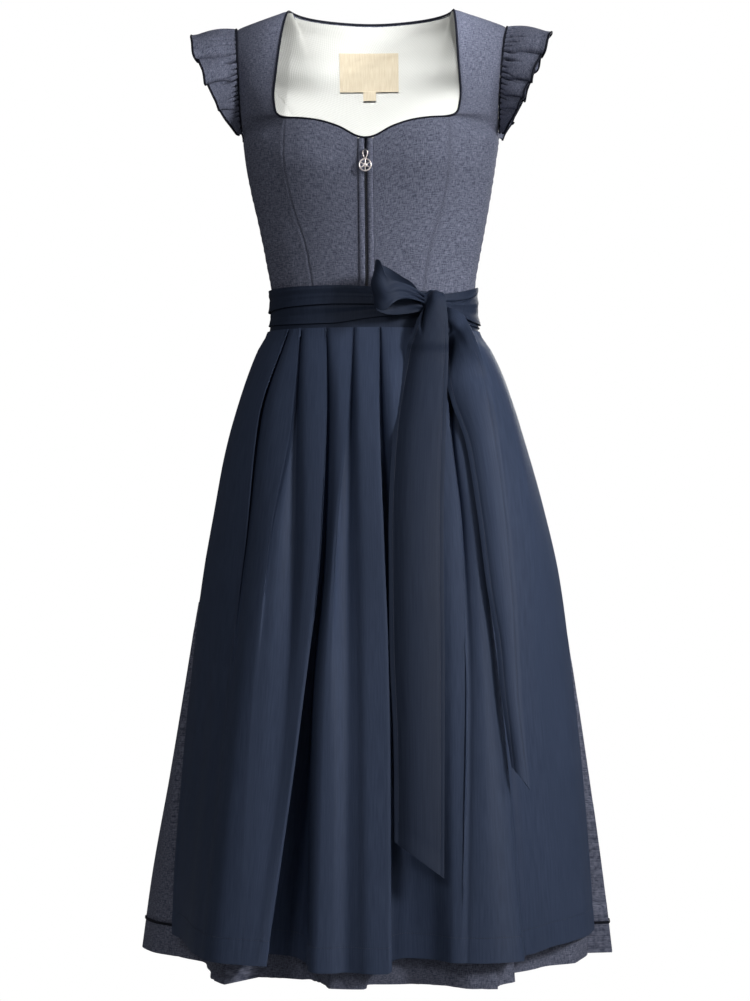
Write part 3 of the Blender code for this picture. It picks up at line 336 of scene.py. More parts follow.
def side_front():
    """Right side front with its strap, up to the shoulder seam."""
    grid = []
    for seam_z, side_z in FRONT_SEAM_ROWS:
        turns = turn_at(PRINCESS_X(seam_z) + SEAM / 2, seam_z), 90 - math.degrees(SEAM / 2 / RIGHT(side_z))
        grid.append(slanted(turns, (seam_z, side_z)))
    grid += [swelled(mm(*row[:3]), mm(*row[3:6]), SIDE_COLUMNS, row[6] * MM) for row in STRAP]
    neck_x, neck_z = NECKLINE[-1]
    grid[len(FRONT_SEAM_ROWS)][0] = form(turn_at(neck_x + SEAM / 2, neck_z), neck_z)
    return grid


def back_half():
    """Right half of the centre back, from the mid-line out, up to the neck and the shoulder seam."""
    def spot(seam_z, seam_x, mid_z, u):
        z = blend(mid_z, seam_z, u)
        return form(turn_at(blend(0, seam_x - SEAM / 2, u), z, behind=True), z)

    def neck_spot(mid_y, mid_z, x, y, z, sweep, u):
        angle = sweep * u
        fall = (math.cos(angle) - math.cos(sweep)) / (1 - math.cos(sweep))
        return mm(x * math.sin(angle) / math.sin(sweep), blend(y, mid_y, fall), blend(mid_z, z, u))

    grid = [stations(NECK_COLUMNS + SHOULDER_COLUMNS, partial(spot, *row)) for row in BACK_SEAM_ROWS]
    for row in BACK_TOP:
        line = stations(NECK_COLUMNS, partial(neck_spot, *row[:5], math.radians(row[8])))
        grid.append(line + swelled(line[-1], mm(*row[5:8]), SHOULDER_COLUMNS, SHOULDER_SWELL)[1:])
    return grid


def centre_back():
    """The whole centre back. Its columns run with the turn, from +X round to -X."""
    return [list(reversed(row)) + [mirrored_point(p) for p in row[1:]] for row in back_half()]


def side_back():
    """Right side back, from the side seam to the back princess seam."""
    grid = []
    for (seam_z, side_z), (_, seam_x, _) in zip(SIDE_BACK_ROWS, BACK_SEAM_ROWS):
        turns = 90 + math.degrees(SEAM / 2 / RIGHT(side_z)), turn_at(seam_x + SEAM / 2, seam_z, behind=True)
        grid.append(slanted(turns, (side_z, seam_z)))
    for (seam_z, seam_x, _), arm in zip(BACK_SEAM_ROWS[-2:], SIDE_BACK_TOP):
        seam = form(turn_at(seam_x + SEAM / 2, seam_z, behind=True), seam_z)
        grid.append(swelled(mm(*arm), seam, SIDE_COLUMNS, 0.004))
    low, high = (row[-1] for row in back_half()[len(BACK_SEAM_ROWS) - 1:][:2])
    tip = low.lerp(high, 0.72) - Vector((0, 0, 2 * SEAM))
    return grid + [swelled(mm(*SIDE_BACK_TOP[-1]), tip, SIDE_COLUMNS, 0.0)]


def neck_edge():
    """Points of the neck edge of the right half with the panel point next to each, from the front."""
    front = centre_front()
    strap = side_front()[len(FRONT_SEAM_ROWS) + 1:]
    back = back_half()
    tops = list(zip(back[-1], back[-2]))[:NECK_COLUMNS]
    return list(zip(front[-1], front[-2])) + [(row[0], row[1]) for row in strap] + tops[::-1]


# Materials
class Value:
    """A socket of a material that takes part in sums."""

    def __init__(self, graph, socket):
        self.graph = graph
        self.socket = socket

    def sum(self, operation, a, b=0.0):
        return self.graph.node("ShaderNodeMath", {"operation": operation}, {0: a, 1: b})

    def sine(self):
        return self.sum("SINE", self)


for sign, operation in (("add", "ADD"), ("sub", "SUBTRACT"), ("mul", "MULTIPLY")):
    setattr(Value, f"__{sign}__", lambda self, other, name=operation: self.sum(name, self, other))
    setattr(Value, f"__r{sign}__", lambda self, other, name=operation: self.sum(name, other, self))


class Graph:
    """The nodes of one material."""

    def __init__(self, name):
        self.material = bpy.data.materials.new(name)
        self.material.use_nodes = True
        self.tree = self.material.node_tree
        self.tree.nodes.clear()

    def node(self, kind, settings, values, output=0):
        node = self.tree.nodes.new(kind)
        for key, value in settings.items():
            setattr(node, key, value)
        for key, value in values.items():
            if isinstance(value, Value):
                self.tree.links.new(value.socket, node.inputs[key])
            else:
                node.inputs[key].default_value = value
        return Value(self, node.outputs[output]) if node.outputs else None

    def cloth_places(self):
        """The cloth's own places in metres, with those across and along its grain."""
        uv = self.node("ShaderNodeUVMap", {"uv_map": "cloth"}, {})
        return uv, *(self.node("ShaderNodeSeparateXYZ", {}, {0: uv}, axis) for axis in (0, 1))

    def noise(self, place, scale, detail=2.0):
        """Soft noise with so many lumps a metre, all ways or along each axis."""
        if not isinstance(scale, tuple):
            scale = (scale,) * 3
        vector = self.node("ShaderNodeMapping", {}, {"Vector": place, "Scale": scale})
        return self.node("ShaderNodeTexNoise", {}, {"Vector": vector, "Scale": 1.0, "Detail": detail})

    def object_noise(self, scale, detail=1.0):
        return self.noise(self.node("ShaderNodeTexCoord", {}, {}, 3), scale, detail)

    def spread(self, value, low, high, to_low=0.0, to_high=1.0):
        """The value's stretch from low to high, spread over another one."""
        return self.node("ShaderNodeMapRange", {}, {0: value, 1: low, 2: high, 3: to_low, 4: to_high})

    def mixed(self, share, *colours):
        first, second = (c if isinstance(c, Value) else (*c, 1) for c in colours)
        return self.node("ShaderNodeMix", {"data_type": "RGBA"}, {0: share, 6: first, 7: second}, 2)

    def relief(self, height, depth, strength):
        return self.node("ShaderNodeBump", {}, {"Strength": strength, "Distance": depth, "Height": height})

    def surface(self, colour, roughness, **values):
        values = {key.replace("_", " "): value for key, value in values.items()}
        values = {"Base Color": colour, "Roughness": roughness, **values}
        shader = self.node("ShaderNodeBsdfPrincipled", {}, values)
        self.node("ShaderNodeOutputMaterial", {}, {"Surface": shader})
        return self.material


def melange_cloth():
    """Blue-grey cloth of dark and light threads, with slubs both ways."""
    g = Graph("melange_cloth")
    uv, across, along = g.cloth_places()
    warp = g.noise(uv, (1000, 165, 1))
    weft = g.noise(uv, (145, 930, 1))
    threads = warp * 0.40 + weft * 0.40 + g.noise(uv, 900, 1.0) * 0.20
    colour = g.mixed(g.spread(threads, 0.40, 0.60), (0.050, 0.058, 0.092), (0.200, 0.212, 0.285))
    colour = g.mixed(g.spread(g.noise(uv, 9), 0.3, 0.7, 0.0, 0.16), colour, (0.070, 0.076, 0.110))
    weave = (across * (TAU / 0.0011)).sine() * (along * (TAU / 0.0011)).sine()
    return g.surface(colour, g.spread(threads, 0.3, 0.7, 0.92, 0.78), Specular_IOR_Level=0.2,
                     Normal=g.relief(weave * 0.35 + threads, 0.00022, 0.8))


def navy_satin(name, painted_light_tone):
    """Dark blue cloth with a soft sheen and a fine twill. A factor on its colour paints light and shade:
    above 1 the cloth is painted lighter, as if more light fell on it, and below 1 it is painted shade.
    """
    g = Graph(name)
    uv, across, along = g.cloth_places()
    twill = ((across + along * 0.55) * (TAU / 0.0012)).sine()
    streaks = g.noise(uv, (700, 30, 1))
    dark, light, cloudy = ([painted_light_tone * c for c in colour] for colour in (
        (0.0250, 0.0350, 0.0640), (0.0330, 0.0450, 0.0790), (0.0220, 0.0320, 0.0570)))
    colour = g.mixed(g.spread(streaks, 0.35, 0.65), dark, light)
    colour = g.mixed(g.spread(g.noise(uv, 7), 0.35, 0.7, 0.0, 0.25), colour, cloudy)
    return g.surface(colour, g.spread(streaks, 0.3, 0.7, 0.50, 0.58), Specular_IOR_Level=0.10,
                     Normal=g.relief(twill * 0.3 + streaks * 0.7, 0.00010, 0.7))


def navy_trim():
    """Narrow dark binding with a ribbed weave."""
    g = Graph("navy_trim")
    ribs = g.object_noise(1500)
    colour = g.mixed(g.spread(ribs, 0.35, 0.65), (0.0025, 0.0035, 0.0090), (0.0080, 0.0095, 0.0190))
    return g.surface(colour, 0.75, Specular_IOR_Level=0.2, Normal=g.relief(ribs, 0.00015, 0.6))


def off_white_lining():
    """Off-white lining with a small diagonal figure."""
    g = Graph("off_white_lining")
    uv, across, along = g.cloth_places()
    twill = ((across + along) * (TAU / 0.0042)).sine()
    figure = ((across - along) * (TAU / 0.0084)).sine() * twill * 0.6
    grain = g.noise(uv, 1300, 1.0)
    share = g.spread(figure + grain * 0.8, -0.2, 1.2)
    colour = g.mixed(share, (0.57, 0.577, 0.545), (0.70, 0.705, 0.675))
    return g.surface(colour, 0.82, Normal=g.relief(figure + grain * 0.4, 0.00025, 0.6))


def cream_label():
    """Cream ribbon with fine cross ribs."""
    g = Graph("cream_label")
    uv, _, along = g.cloth_places()
    ribs = (along * (TAU / 0.0011)).sine()
    share = g.spread(g.noise(uv, (900, 60, 1), 1.0) + ribs * 0.2, 0.2, 0.8)
    return g.surface(g.mixed(share, (0.54, 0.45, 0.31), (0.65, 0.58, 0.44)), 0.6,
                     Normal=g.relief(ribs, 0.00012, 0.7))


def silver_metal(name, bright, worn, metallic):
    """Polished metal with fine wear."""
    g = Graph(name)
    wear = g.object_noise(1400, 2.0)
    return g.surface(g.mixed(g.spread(wear, 0.35, 0.7), bright, worn), g.spread(wear, 0.3, 0.7, 0.22, 0.36),
                     Metallic=metallic, Normal=g.relief(wear, 0.00004, 0.4))


def thread(name, colour):
    """Sewing thread with a fine twist."""
    g = Graph(name)
    twist = g.object_noise(2600)
    dark = [c * 0.6 for c in colour]
    return g.surface(g.mixed(g.spread(twist, 0.35, 0.65), dark, colour), 0.6,
                     Normal=g.relief(twist, 0.00008, 0.5))


def plain(name, first, second, scale, detail, roughness):
    """An even material with a fine grain."""
    g = Graph(name)
    return g.surface(g.mixed(g.object_noise(scale, detail), first, second), roughness)


# Each material with the slot that it fills
MELANGE = melange_cloth(), "melange_cloth"
# Two copies of one satin. The lighter one, on the apron and the second tail, is painted light. The darker
# one, on the sash, knot, loop and main tail, is painted shade.
PAINTED_LIT_SATIN = navy_satin("navy_satin_painted_lit", 1.40), "navy_satin"
PAINTED_SHADED_SATIN = navy_satin("navy_satin", 0.78), "navy_satin"
TRIM = navy_trim(), "navy_trim"
OFF_WHITE = off_white_lining(), "off_white_lining"
CREAM = cream_label(), "cream_label"
SILVER = silver_metal("silver_metal", (0.97, 0.91, 0.89), (0.82, 0.74, 0.72), 0.7), "silver_metal"
# The slider's silver is painted dark: its colour is a painted dark reflection.
SILVER_PAINTED_DARK = silver_metal("silver_painted_dark_reflection", (0.20, 0.20, 0.23), (0.10, 0.10, 0.12), 1.0), "silver_metal"
COIL = plain("dark_coil", (0.010, 0.012, 0.020), (0.030, 0.034, 0.050), 1800, 1.0, 0.35), "navy_trim"
NAVY_THREAD = thread("navy_thread", (0.050, 0.060, 0.100)), "navy_satin"
CREAM_THREAD = thread("cream_thread", (0.80, 0.72, 0.55)), "cream_label"
FLOOR = plain("pale_floor", (0.86, 0.86, 0.86), (0.89, 0.89, 0.89), 30, 2.0, 0.9)


# Making pieces
SMALLEST_CUT = 0.0125
SMALLEST_SHARE = 0.31

merge = partial(bpy.ops.mesh.remove_doubles, threshold=1e-6)
face_out = partial(bpy.ops.mesh.normals_make_consistent, inside=False)


def clear_selection():
    if bpy.context.object and bpy.context.object.mode != "OBJECT":
        bpy.ops.object.mode_set(mode="OBJECT")
    bpy.ops.object.select_all(action="DESELECT")


def active(item):
    clear_selection()
    item.select_set(True)
    bpy.context.view_layer.objects.active = item


def made(primitive, **settings):
    """A new object from one of Blender's mesh primitives."""
    clear_selection()
    getattr(bpy.ops.mesh, f"primitive_{primitive}_add")(**settings)
    return bpy.context.object


def linked(name, data):
    item = bpy.data.objects.new(name, data)
    bpy.context.scene.collection.objects.link(item)
    return item


def edited(item, *steps):
    """Runs edit steps on the whole mesh of an object."""
    active(item)
    bpy.ops.object.mode_set(mode="EDIT")
    bpy.ops.mesh.select_all(action="SELECT")
    for step in steps:
        step()
    bpy.ops.object.mode_set(mode="OBJECT")


def smoothed(degrees):
    """Shades the active object smooth, except at edges sharper than so many degrees."""
    bpy.ops.object.shade_smooth_by_angle(angle=math.radians(degrees))


def cloth_size(grid):
    """Width and length of a sheet, along its longest row and column."""
    width = max(span(row) for row in grid[::4] + grid[-1:])
    length = max(span([row[j] for row in grid]) for j in range(0, len(grid[0]), 4))
    return width, length


def cloth_grid(name, grid, closed=False):
    """A sheet through a grid of points, with its grain as a UV map in metres."""
    across, along = len(grid[0]) - 1, len(grid) - 1
    item = made("grid", x_subdivisions=across, y_subdivisions=along)
    item.name = item.data.name = name
    item.data.vertices.foreach_set("co", [c for row in grid for point in row for c in point])
    width, length = cloth_size(grid)
    uvs = []
    for loop in item.data.loops:
        row, column = divmod(loop.vertex_index, across + 1)
        uvs += [column / across * width, row / along * length]
    layer = item.data.uv_layers.active
    layer.name = "cloth"
    layer.data.foreach_set("uv", uvs)
    item.data.update()
    if closed:
        edited(item, merge)
    return item


def walled(item, thick, offset):
    """Gives a sheet its wall."""
    active(item)
    wall = item.modifiers.new("wall", "SOLIDIFY")
    wall.thickness = thick
    wall.offset = offset
    bpy.ops.object.modifier_apply(modifier="wall")
    smoothed(60)
    return item


def dressed(item, look, nodes=(), body="dress"):
    """Gives a piece its material, the body that it rides on and the nodes that it replaces."""
    surface, slot = look
    item.data.materials.clear()
    item.data.materials.append(surface)
    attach(item, body)
    if nodes:
        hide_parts(*nodes)
    return item


def cloth(name, grid, thick, look, node, rests_on, offset=-1.0, closed=False):
    """One cloth piece: its sheet and wall, and the node that it stands for."""
    item = dressed(walled(cloth_grid(name, grid, closed), thick, offset), look, [node])
    width, length = (max(side, SMALLEST_CUT) for side in cloth_size(grid))
    for low, high in zip(grid, grid[1:]):
        for a, b, c, d in zip(low, low[1:], high[1:], high):
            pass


def tube(name, points, radius, look, nodes=(), closed=False, body="dress", sides=2):
    """A round cord of cloth or wire through a line of points."""
    curve = bpy.data.curves.new(name, "CURVE")
    curve.dimensions = "3D"
    curve.bevel_depth = radius
    curve.bevel_resolution = sides
    curve.use_fill_caps = not closed
    spline = curve.splines.new("POLY")
    spline.points.add(len(points) - 1)
    spline.use_cyclic_u = closed
    for spot, point in zip(spline.points, points):
        spot.co = (*point, 1)
    active(linked(name, curve))
    bpy.ops.object.convert(target="MESH")
    item = bpy.context.object
    edited(item, merge, face_out)
    smoothed(50)
    return dressed(item, look, nodes, body)


def copied(name, pattern, places, look, smooth):
    """One piece made of a pattern's copies, each moved by a matrix. The pattern itself goes."""
    mesh = bmesh.new()
    for place in places:
        before = len(mesh.verts)
        mesh.from_mesh(pattern.data)
        mesh.verts.ensure_lookup_table()
        for vert in mesh.verts[before:]:
            vert.co = place @ vert.co
    data = bpy.data.meshes.new(name)
    mesh.to_mesh(data)
    mesh.free()
    bpy.data.objects.remove(pattern, do_unlink=True)
    item = linked(name, data)
    active(item)
    smoothed(smooth)
    dressed(item, look)


def along_line(points, step):
    """Places a step apart along a line: the segment's number, the place and the line's direction there."""
    left = step / 2
    for i, (a, b) in enumerate(zip(points, points[1:])):
        length = (b - a).length
        while left < length:
            yield i, a.lerp(b, left / length), (b - a).normalized()
            left += step
        left -= length


def stitches(name, lines, look, step=0.0027, length=0.0017, radius=0.00022):
    """Rows of sewn stitches. Each line is a list of points with its outward directions."""
    pattern = made("cylinder", vertices=6, radius=radius, depth=length, end_fill_type="TRIFAN",
                   rotation=(0, math.radians(90), 0))
    bpy.ops.object.transform_apply(location=False, rotation=True, scale=False)
    edited(pattern, face_out)
    places = []
    for points, normals in lines:
        for i, spot, heading in along_line(points, step):
            side = normals[i].cross(heading).normalized()
            turn = Matrix((heading, side, heading.cross(side))).transposed().to_4x4()
            places.append(Matrix.Translation(spot + normals[i] * (radius * 0.4)) @ turn)
    copied(name, pattern, places, look, 50)


# Creases in the cloth, in mm: x and z where each starts and ends on the front or back, its width and height
FRONT_CREASES = [
    (-146, -172, -112, -196, 7, -1.1), (-150, -160, -108, -172, 9, 0.9), (148, -170, 112, -200, 7, -1.1),
    (150, -158, 108, -172, 9, 0.9), (-122, -318, -82, -296, 8, -0.9), (-126, -300, -88, -274, 10, 0.8),
    (124, -316, 84, -300, 8, -0.9), (128, -296, 90, -268, 10, 0.8), (-60, -334, -34, -300, 7, -0.7),
    (56, -326, 34, -292, 7, -0.7), (-128, -112, -112, -60, 11, -0.8), (130, -112, 112, -60, 11, -0.8)]
BACK_CREASES = [
    (-104, -330, -62, -306, 8, -1.0), (104, -330, 62, -306, 8, -1.0), (-112, -312, -52, -286, 10, 0.9),
    (110, -312, 50, -284, 10, 0.9), (-90, -334, 84, -330, 7, -1.0), (-128, -150, -96, -190, 8, -0.9),
    (128, -150, 96, -190, 8, -0.9), (-110, -70, -60, -38, 12, -0.8), (110, -70, 60, -38, 12, -0.8)]

# Seams: how deep and wide they dip, how far from a panel's edge they reach, and their puckers
SEAM_DIP = 0.0009
SEAM_DIP_WIDTH = 0.0016
SEAM_REACH = 0.03
SEAM_PUCKER = 0.00035
SEAM_PUCKER_REACH = 0.007
SEAM_PUCKER_STEP = 0.0085


def creased(point):
    """How far the creases near a place raise the cloth."""
    here = Vector((point.x, point.z)) / MM
    total = 0.0
    for x0, z0, x1, z1, width, height in FRONT_CREASES if point.y < 0 else BACK_CREASES:
        start = Vector((x0, z0))
        run = Vector((x1, z1)) - start
        t = min(max((here - start).dot(run) / run.length_squared, 0.0), 1.0)
        gap = (here - start - run * t).length
        if gap < width * 3:
            total += height * ridge(gap, 0, width) * math.sin(math.pi * (0.12 + 0.76 * t))
    return total * MM * min(abs(point.y) / 0.03, 1.0)


def seamed(grid, sewn):
    """Bodice panel whose sewn side edges dip into their seams, with soft puckers and creases."""
    result = []
    for row in grid:
        line = []
        for point in row:
            out = creased(point)
            for edge, is_sewn in zip((row[0], row[-1]), sewn):
                gap = (point - edge).length
                if is_sewn and gap < SEAM_REACH:
                    wave = math.sin(TAU * point.z / SEAM_PUCKER_STEP + 2.0 * math.sin(point.z * 190))
                    out -= SEAM_DIP * ridge(gap, 0, SEAM_DIP_WIDTH)
                    out += SEAM_PUCKER * ridge(gap, 0, SEAM_PUCKER_REACH) * wave
            line.append(point + outward(point) * out)
        result.append(line)
    return result


def build_bodice():
    panels = (*both_sides("bodice_front", centre_front()), *both_sides("bodice_side_front", side_front()),
              ("bodice_back", centre_back()), *both_sides("bodice_side_back", side_back()))
    for name, grid in panels:
        sewn = name != "bodice_front_right", name != "bodice_front_left"
        cloth("cloth_" + name, seamed(finer(grid, 8), sewn), BODICE_CLOTH, MELANGE, name,
              "shoulders")


def inset(grid, depth):
    return [[p - outward(p) * depth for p in row] for row in grid]


def build_lining():
    """The lining behind the back panels. It starts one row above the waist seam."""
    for name, grid in (("lining_back", centre_back()[1:]), *both_sides("lining_side", side_back()[1:])):
        cloth("cloth_" + name, inset(finer(grid, 6), BODICE_CLOTH + PLY), LINING_CLOTH, OFF_WHITE, name,
              "cloth_bodice_back")


# The neck piping: its radius, how far its middle is past the edge, steps from point to point, and its
# rounded corners at the shoulders
PIPING = 0.00135
PIPING_PAST = 0.0011
PIPING_STEPS = 5
NECK_CORNER_Z = -0.030
NECK_CORNER_REACH = 3


def build_neck_piping():
    """The corded piping round the neck."""
    right = neck_edge()
    left = [(mirrored_point(p), mirrored_point(q)) for p, q in right]
    loop = right + left[-2::-1]
    centres = []
    for i, (edge, inside) in enumerate(loop):
        along = (loop[(i + 1) % len(loop)][0] - loop[i - 1][0]).normalized()
        away = edge - inside
        away = (away - along * away.dot(along)).normalized()
        normal = along.cross(away).normalized()
        centres.append(edge - normal * (BODICE_CLOTH / 2) + away * PIPING_PAST)
    doubled = centres[-2:] + centres + centres[:3]
    total = len(loop) * PIPING_STEPS
    fine = [through(doubled, 2 + k / PIPING_STEPS) for k in range(total)]
    near = range(-NECK_CORNER_REACH, NECK_CORNER_REACH + 1)
    rounded = [sum((fine[(k + step) % total] for step in near), Vector()) / len(near) for k in range(total)]
    fine = [soft if p.z > NECK_CORNER_Z else p for p, soft in zip(fine, rounded)]
    tube("piping_neck", fine, PIPING, TRIM, ["neck_piping"], closed=True)


# Ruffle, in mm: points of the armhole from the front round the shoulder, and how far the ruffle reaches
RUFFLE = [
    (153.5, -24, -150, 156.5, -26, -152), (154, -43, -132, 169.7, -53, -138),
    (154.5, -47, -115, 176.3, -63, -126), (155.5, -50, -95, 184, -69, -110),
    (157, -46, -72, 193.5, -68, -88), (159, -36, -50, 203, -56, -64), (161.5, -18, -31, 210.5, -30, -42),
    (162.8, 0, -21.6, 213, 0, -34), (162, 16, -28, 203.5, 29, -42), (160.5, 34, -42, 196, 55, -64),
    (157.5, 47, -62, 186.5, 67, -88), (156.2, 51.2, -84, 177, 69, -110), (155, 49, -105, 169.3, 63, -126),
    (154.6, 43, -126, 162.7, 53, -138), (153.5, 27, -148, 156.5, 29, -152)]
RUFFLE_STEPS = 420
RUFFLE_ROWS = 18
RUFFLE_DEPTH = 0.045
RUFFLE_PUFF = 0.0030
BINDING = 0.0014
BINDING_PAST = 0.0006

# Its large folds: places of their overlapping edges along the outer rim, in rows of the table, and heights
LOBE_EDGES = {"left": [0, 1.9, 3.75, 5, 9, 10.25, 12.1, 14],
              "right": [0, 1.9, 2.8, 3.7, 5.1, 8.9, 10.3, 12, 14]}
LOBE_HEIGHTS = {"left": [0.4, 0.6, 1, 1, 1, 0.6, 0.4], "right": [0.5, 0.65, 0.8, 0.9, 1, 0.9, 0.7, 0.5]}
LOBE_SWING = 0.0145
LOBE_OVERLAP = 0.38
LOBE_SLANT = 0.7
LOBE_REACH = 0.10
GATHERS = 44
GATHER_DEPTH = 0.0090


def lobe(s, side):
    """Height of the ruffle's large folds at a place along the rim, and how near its overlapping edge is."""
    edges = LOBE_EDGES[side]
    s = min(max(s, 0.0), edges[-1] - 1e-6)
    k = max(i for i, edge in enumerate(edges[:-1]) if edge <= s)
    start, end = edges[k], edges[k + 1]
    middle = edges[-1] / 2
    falling = (s - start) / (end - start)
    flatness = 0.75
    if start < middle < end:
        edge = min(falling, 1 - falling) * 2
        sign = -1 if falling < 0.5 else 1
        flatness = 0.30
    elif end <= middle:
        edge, sign = falling, -1
    else:
        edge, sign = 1 - falling, 1
    tall = LOBE_HEIGHTS[side][k]
    height = tall * ((1 - ridge(edge, 0, 0.10)) * (1 - flatness * edge ** 1.2) - 0.35)
    return height, sign * tall * ridge(edge, 0.13, 0.13)


def ruffle(side):
    """Right cap ruffle: gathered on the armhole, with a few large folds and many small gathers."""
    curves = [numbered_curve(values) for values in zip(*RUFFLE)]

    def seam(s):
        return mm(*(curve(s) for curve in curves[:3]))

    last = len(RUFFLE) - 1
    grid = [[] for _ in range(RUFFLE_ROWS + 1)]
    for j in range(RUFFLE_STEPS + 1):
        s = j / RUFFLE_STEPS * last
        lap = TAU * j / RUFFLE_STEPS
        wander = 1.6 * math.sin(5 * lap) + 0.9 * math.sin(11 * lap + 1)
        small = (0.5 + 0.5 * math.sin(GATHERS * lap + wander)) ** 5
        reach = 0.27 + 0.12 * math.sin(13.3 * lap + 0.7)
        inner = seam(s) + Vector((PLY, 0, 0))
        along = seam(s + 0.2) - seam(s - 0.2)
        slant = LOBE_SLANT * (1 if s < last / 2 else -1) * min(abs(s - last / 2), 1)
        for i in range(RUFFLE_ROWS + 1):
            v = i / RUFFLE_ROWS
            fold, near = lobe(s + slant * (1 - v), side)
            shifted = min(max(s + LOBE_OVERLAP * near * v, 0.0), last)
            outer = mm(curves[3](s), curves[4](shifted), curves[5](shifted))
            normal = (outer - inner).cross(along).normalized()
            fullness = min((outer - inner).length / RUFFLE_DEPTH, 1.0)
            outer = inner.lerp(outer, 1.0 + LOBE_REACH * fold)
            gathers = GATHER_DEPTH * small * ridge(v, 0, reach) * min(v / 0.08, 1.0)
            puff = RUFFLE_PUFF * math.sin(math.pi * min(v * 1.15, 1.0))
            out = LOBE_SWING * fold * v ** 0.8 - gathers + puff
            grid[i].append(inner.lerp(outer, v) + normal * (out * fullness))
    return grid


def build_ruffles():
    for side, grid in (("right", ruffle("right")), ("left", mirrored(ruffle("left")))):
        cloth("cloth_ruffle_" + side, grid, THIN_CLOTH, MELANGE, "ruffle_" + side,
              "cloth_bodice_side_front_" + side, offset=0.0)
        ends = zip(grid[-2], grid[-1])
        rim = [outer + (outer - inner).normalized() * BINDING_PAST for inner, outer in ends]
        tube("binding_ruffle_" + side, rim, BINDING, TRIM, ["ruffle_binding_" + side])
        # A dark cord along each armhole seam is painted shade: it stands for the shadow in the seam under
        # the ruffle.
        tube("painted_shade_armhole_" + side, grid[0][4:-4:2], BINDING, TRIM)


# Folds of the skirt: a row for each crest or hollow, from one edge to the other. At the waist and at the
# middle level it has its turn and how far it stands out from the body form in mm, at the hem its turn and
# its reach from the mid-line in mm.
MID_LEVEL = 0.34
SKIRT_FRONT = [
    (-90, -2, -90, 0, -90, 275.5), (-80, -2.5, -81, -2, -82, 263), (-70, -3.5, -71, -8, -71, 229),
    (-60, -2.2, -60, -8, -62, 214), (-50, -3.5, -48, -4, -50, 232), (-40, -2.2, -38, -1, -37.5, 269),
    (-30, -3.5, -29, -1, -25.5, 287), (-20, -2.2, -19, -9, -16.5, 208), (-12, -3.5, -12, -6, -8.1, 259),
    (-4, -2.2, -4, -2, 0, 261), (4, -3.5, 5, -5, 3.8, 233), (12, -2.2, 13, -8, 10.2, 234),
    (20, -3.5, 20, -3, 17.9, 263), (30, -2.2, 29, -1, 25, 288), (40, -3.5, 37, -2, 35, 288),
    (52, -2.2, 49, -8, 49, 226), (64, -3.5, 62, -6, 61, 232), (77, -2.2, 76, -2, 77, 275),
    (90, -2, 90, 0, 90, 288.5)]
SKIRT_BACK = [
    (90, -2, 90, 0, 90, 288.5), (99, -4.2, 98, -6, 99, 268), (107, -2, 108, 0, 108, 276),
    (116, -4.2, 118, -11, 118, 222), (124, -2, 126, 0, 126, 262), (133, -4.2, 135, -12, 136, 205),
    (142, -2, 144, 0, 146, 252), (151, -4.2, 153, -12, 155, 199), (160, -2, 162, 0, 163, 246),
    (170, -4.2, 171, -10, 172, 201), (180, -2, 180, 0, 181, 243), (190, -4.2, 189, -11, 190, 197),
    (200, -2, 198, 0, 199, 246), (209, -4.2, 207, -12, 207, 201), (218, -2, 216, 0, 215, 250),
    (227, -4.2, 225, -12, 225, 206), (236, -2, 234, 0, 235, 258), (244, -4.2, 243, -10, 244, 217),
    (253, -2, 252, 0, 253, 266), (261, -4.2, 262, -5, 262, 256), (270, -2, 270, 0, 270, 275.5)]
SKIRT_ROWS = 84
SKIRT_PANELS = [("front", SKIRT_FRONT, 10), ("back", SKIRT_BACK, 13)]

# Hem tuck round the skirt: its level as a share of the skirt's length, its width and what it takes up of
# the cloth
TUCK_LEVEL = 0.7400 / 0.7745
TUCK_WIDTH = 0.0030
TUCK_CUT = TUCK_WIDTH + 0.0115

# How near the skirt looks for the apron, in degrees, and how far it stays behind it
APRON_SKIRT_MARGIN = 5.0
UNDER_APRON_TOP = 0.0065
UNDER_APRON_HEM = 0.0115

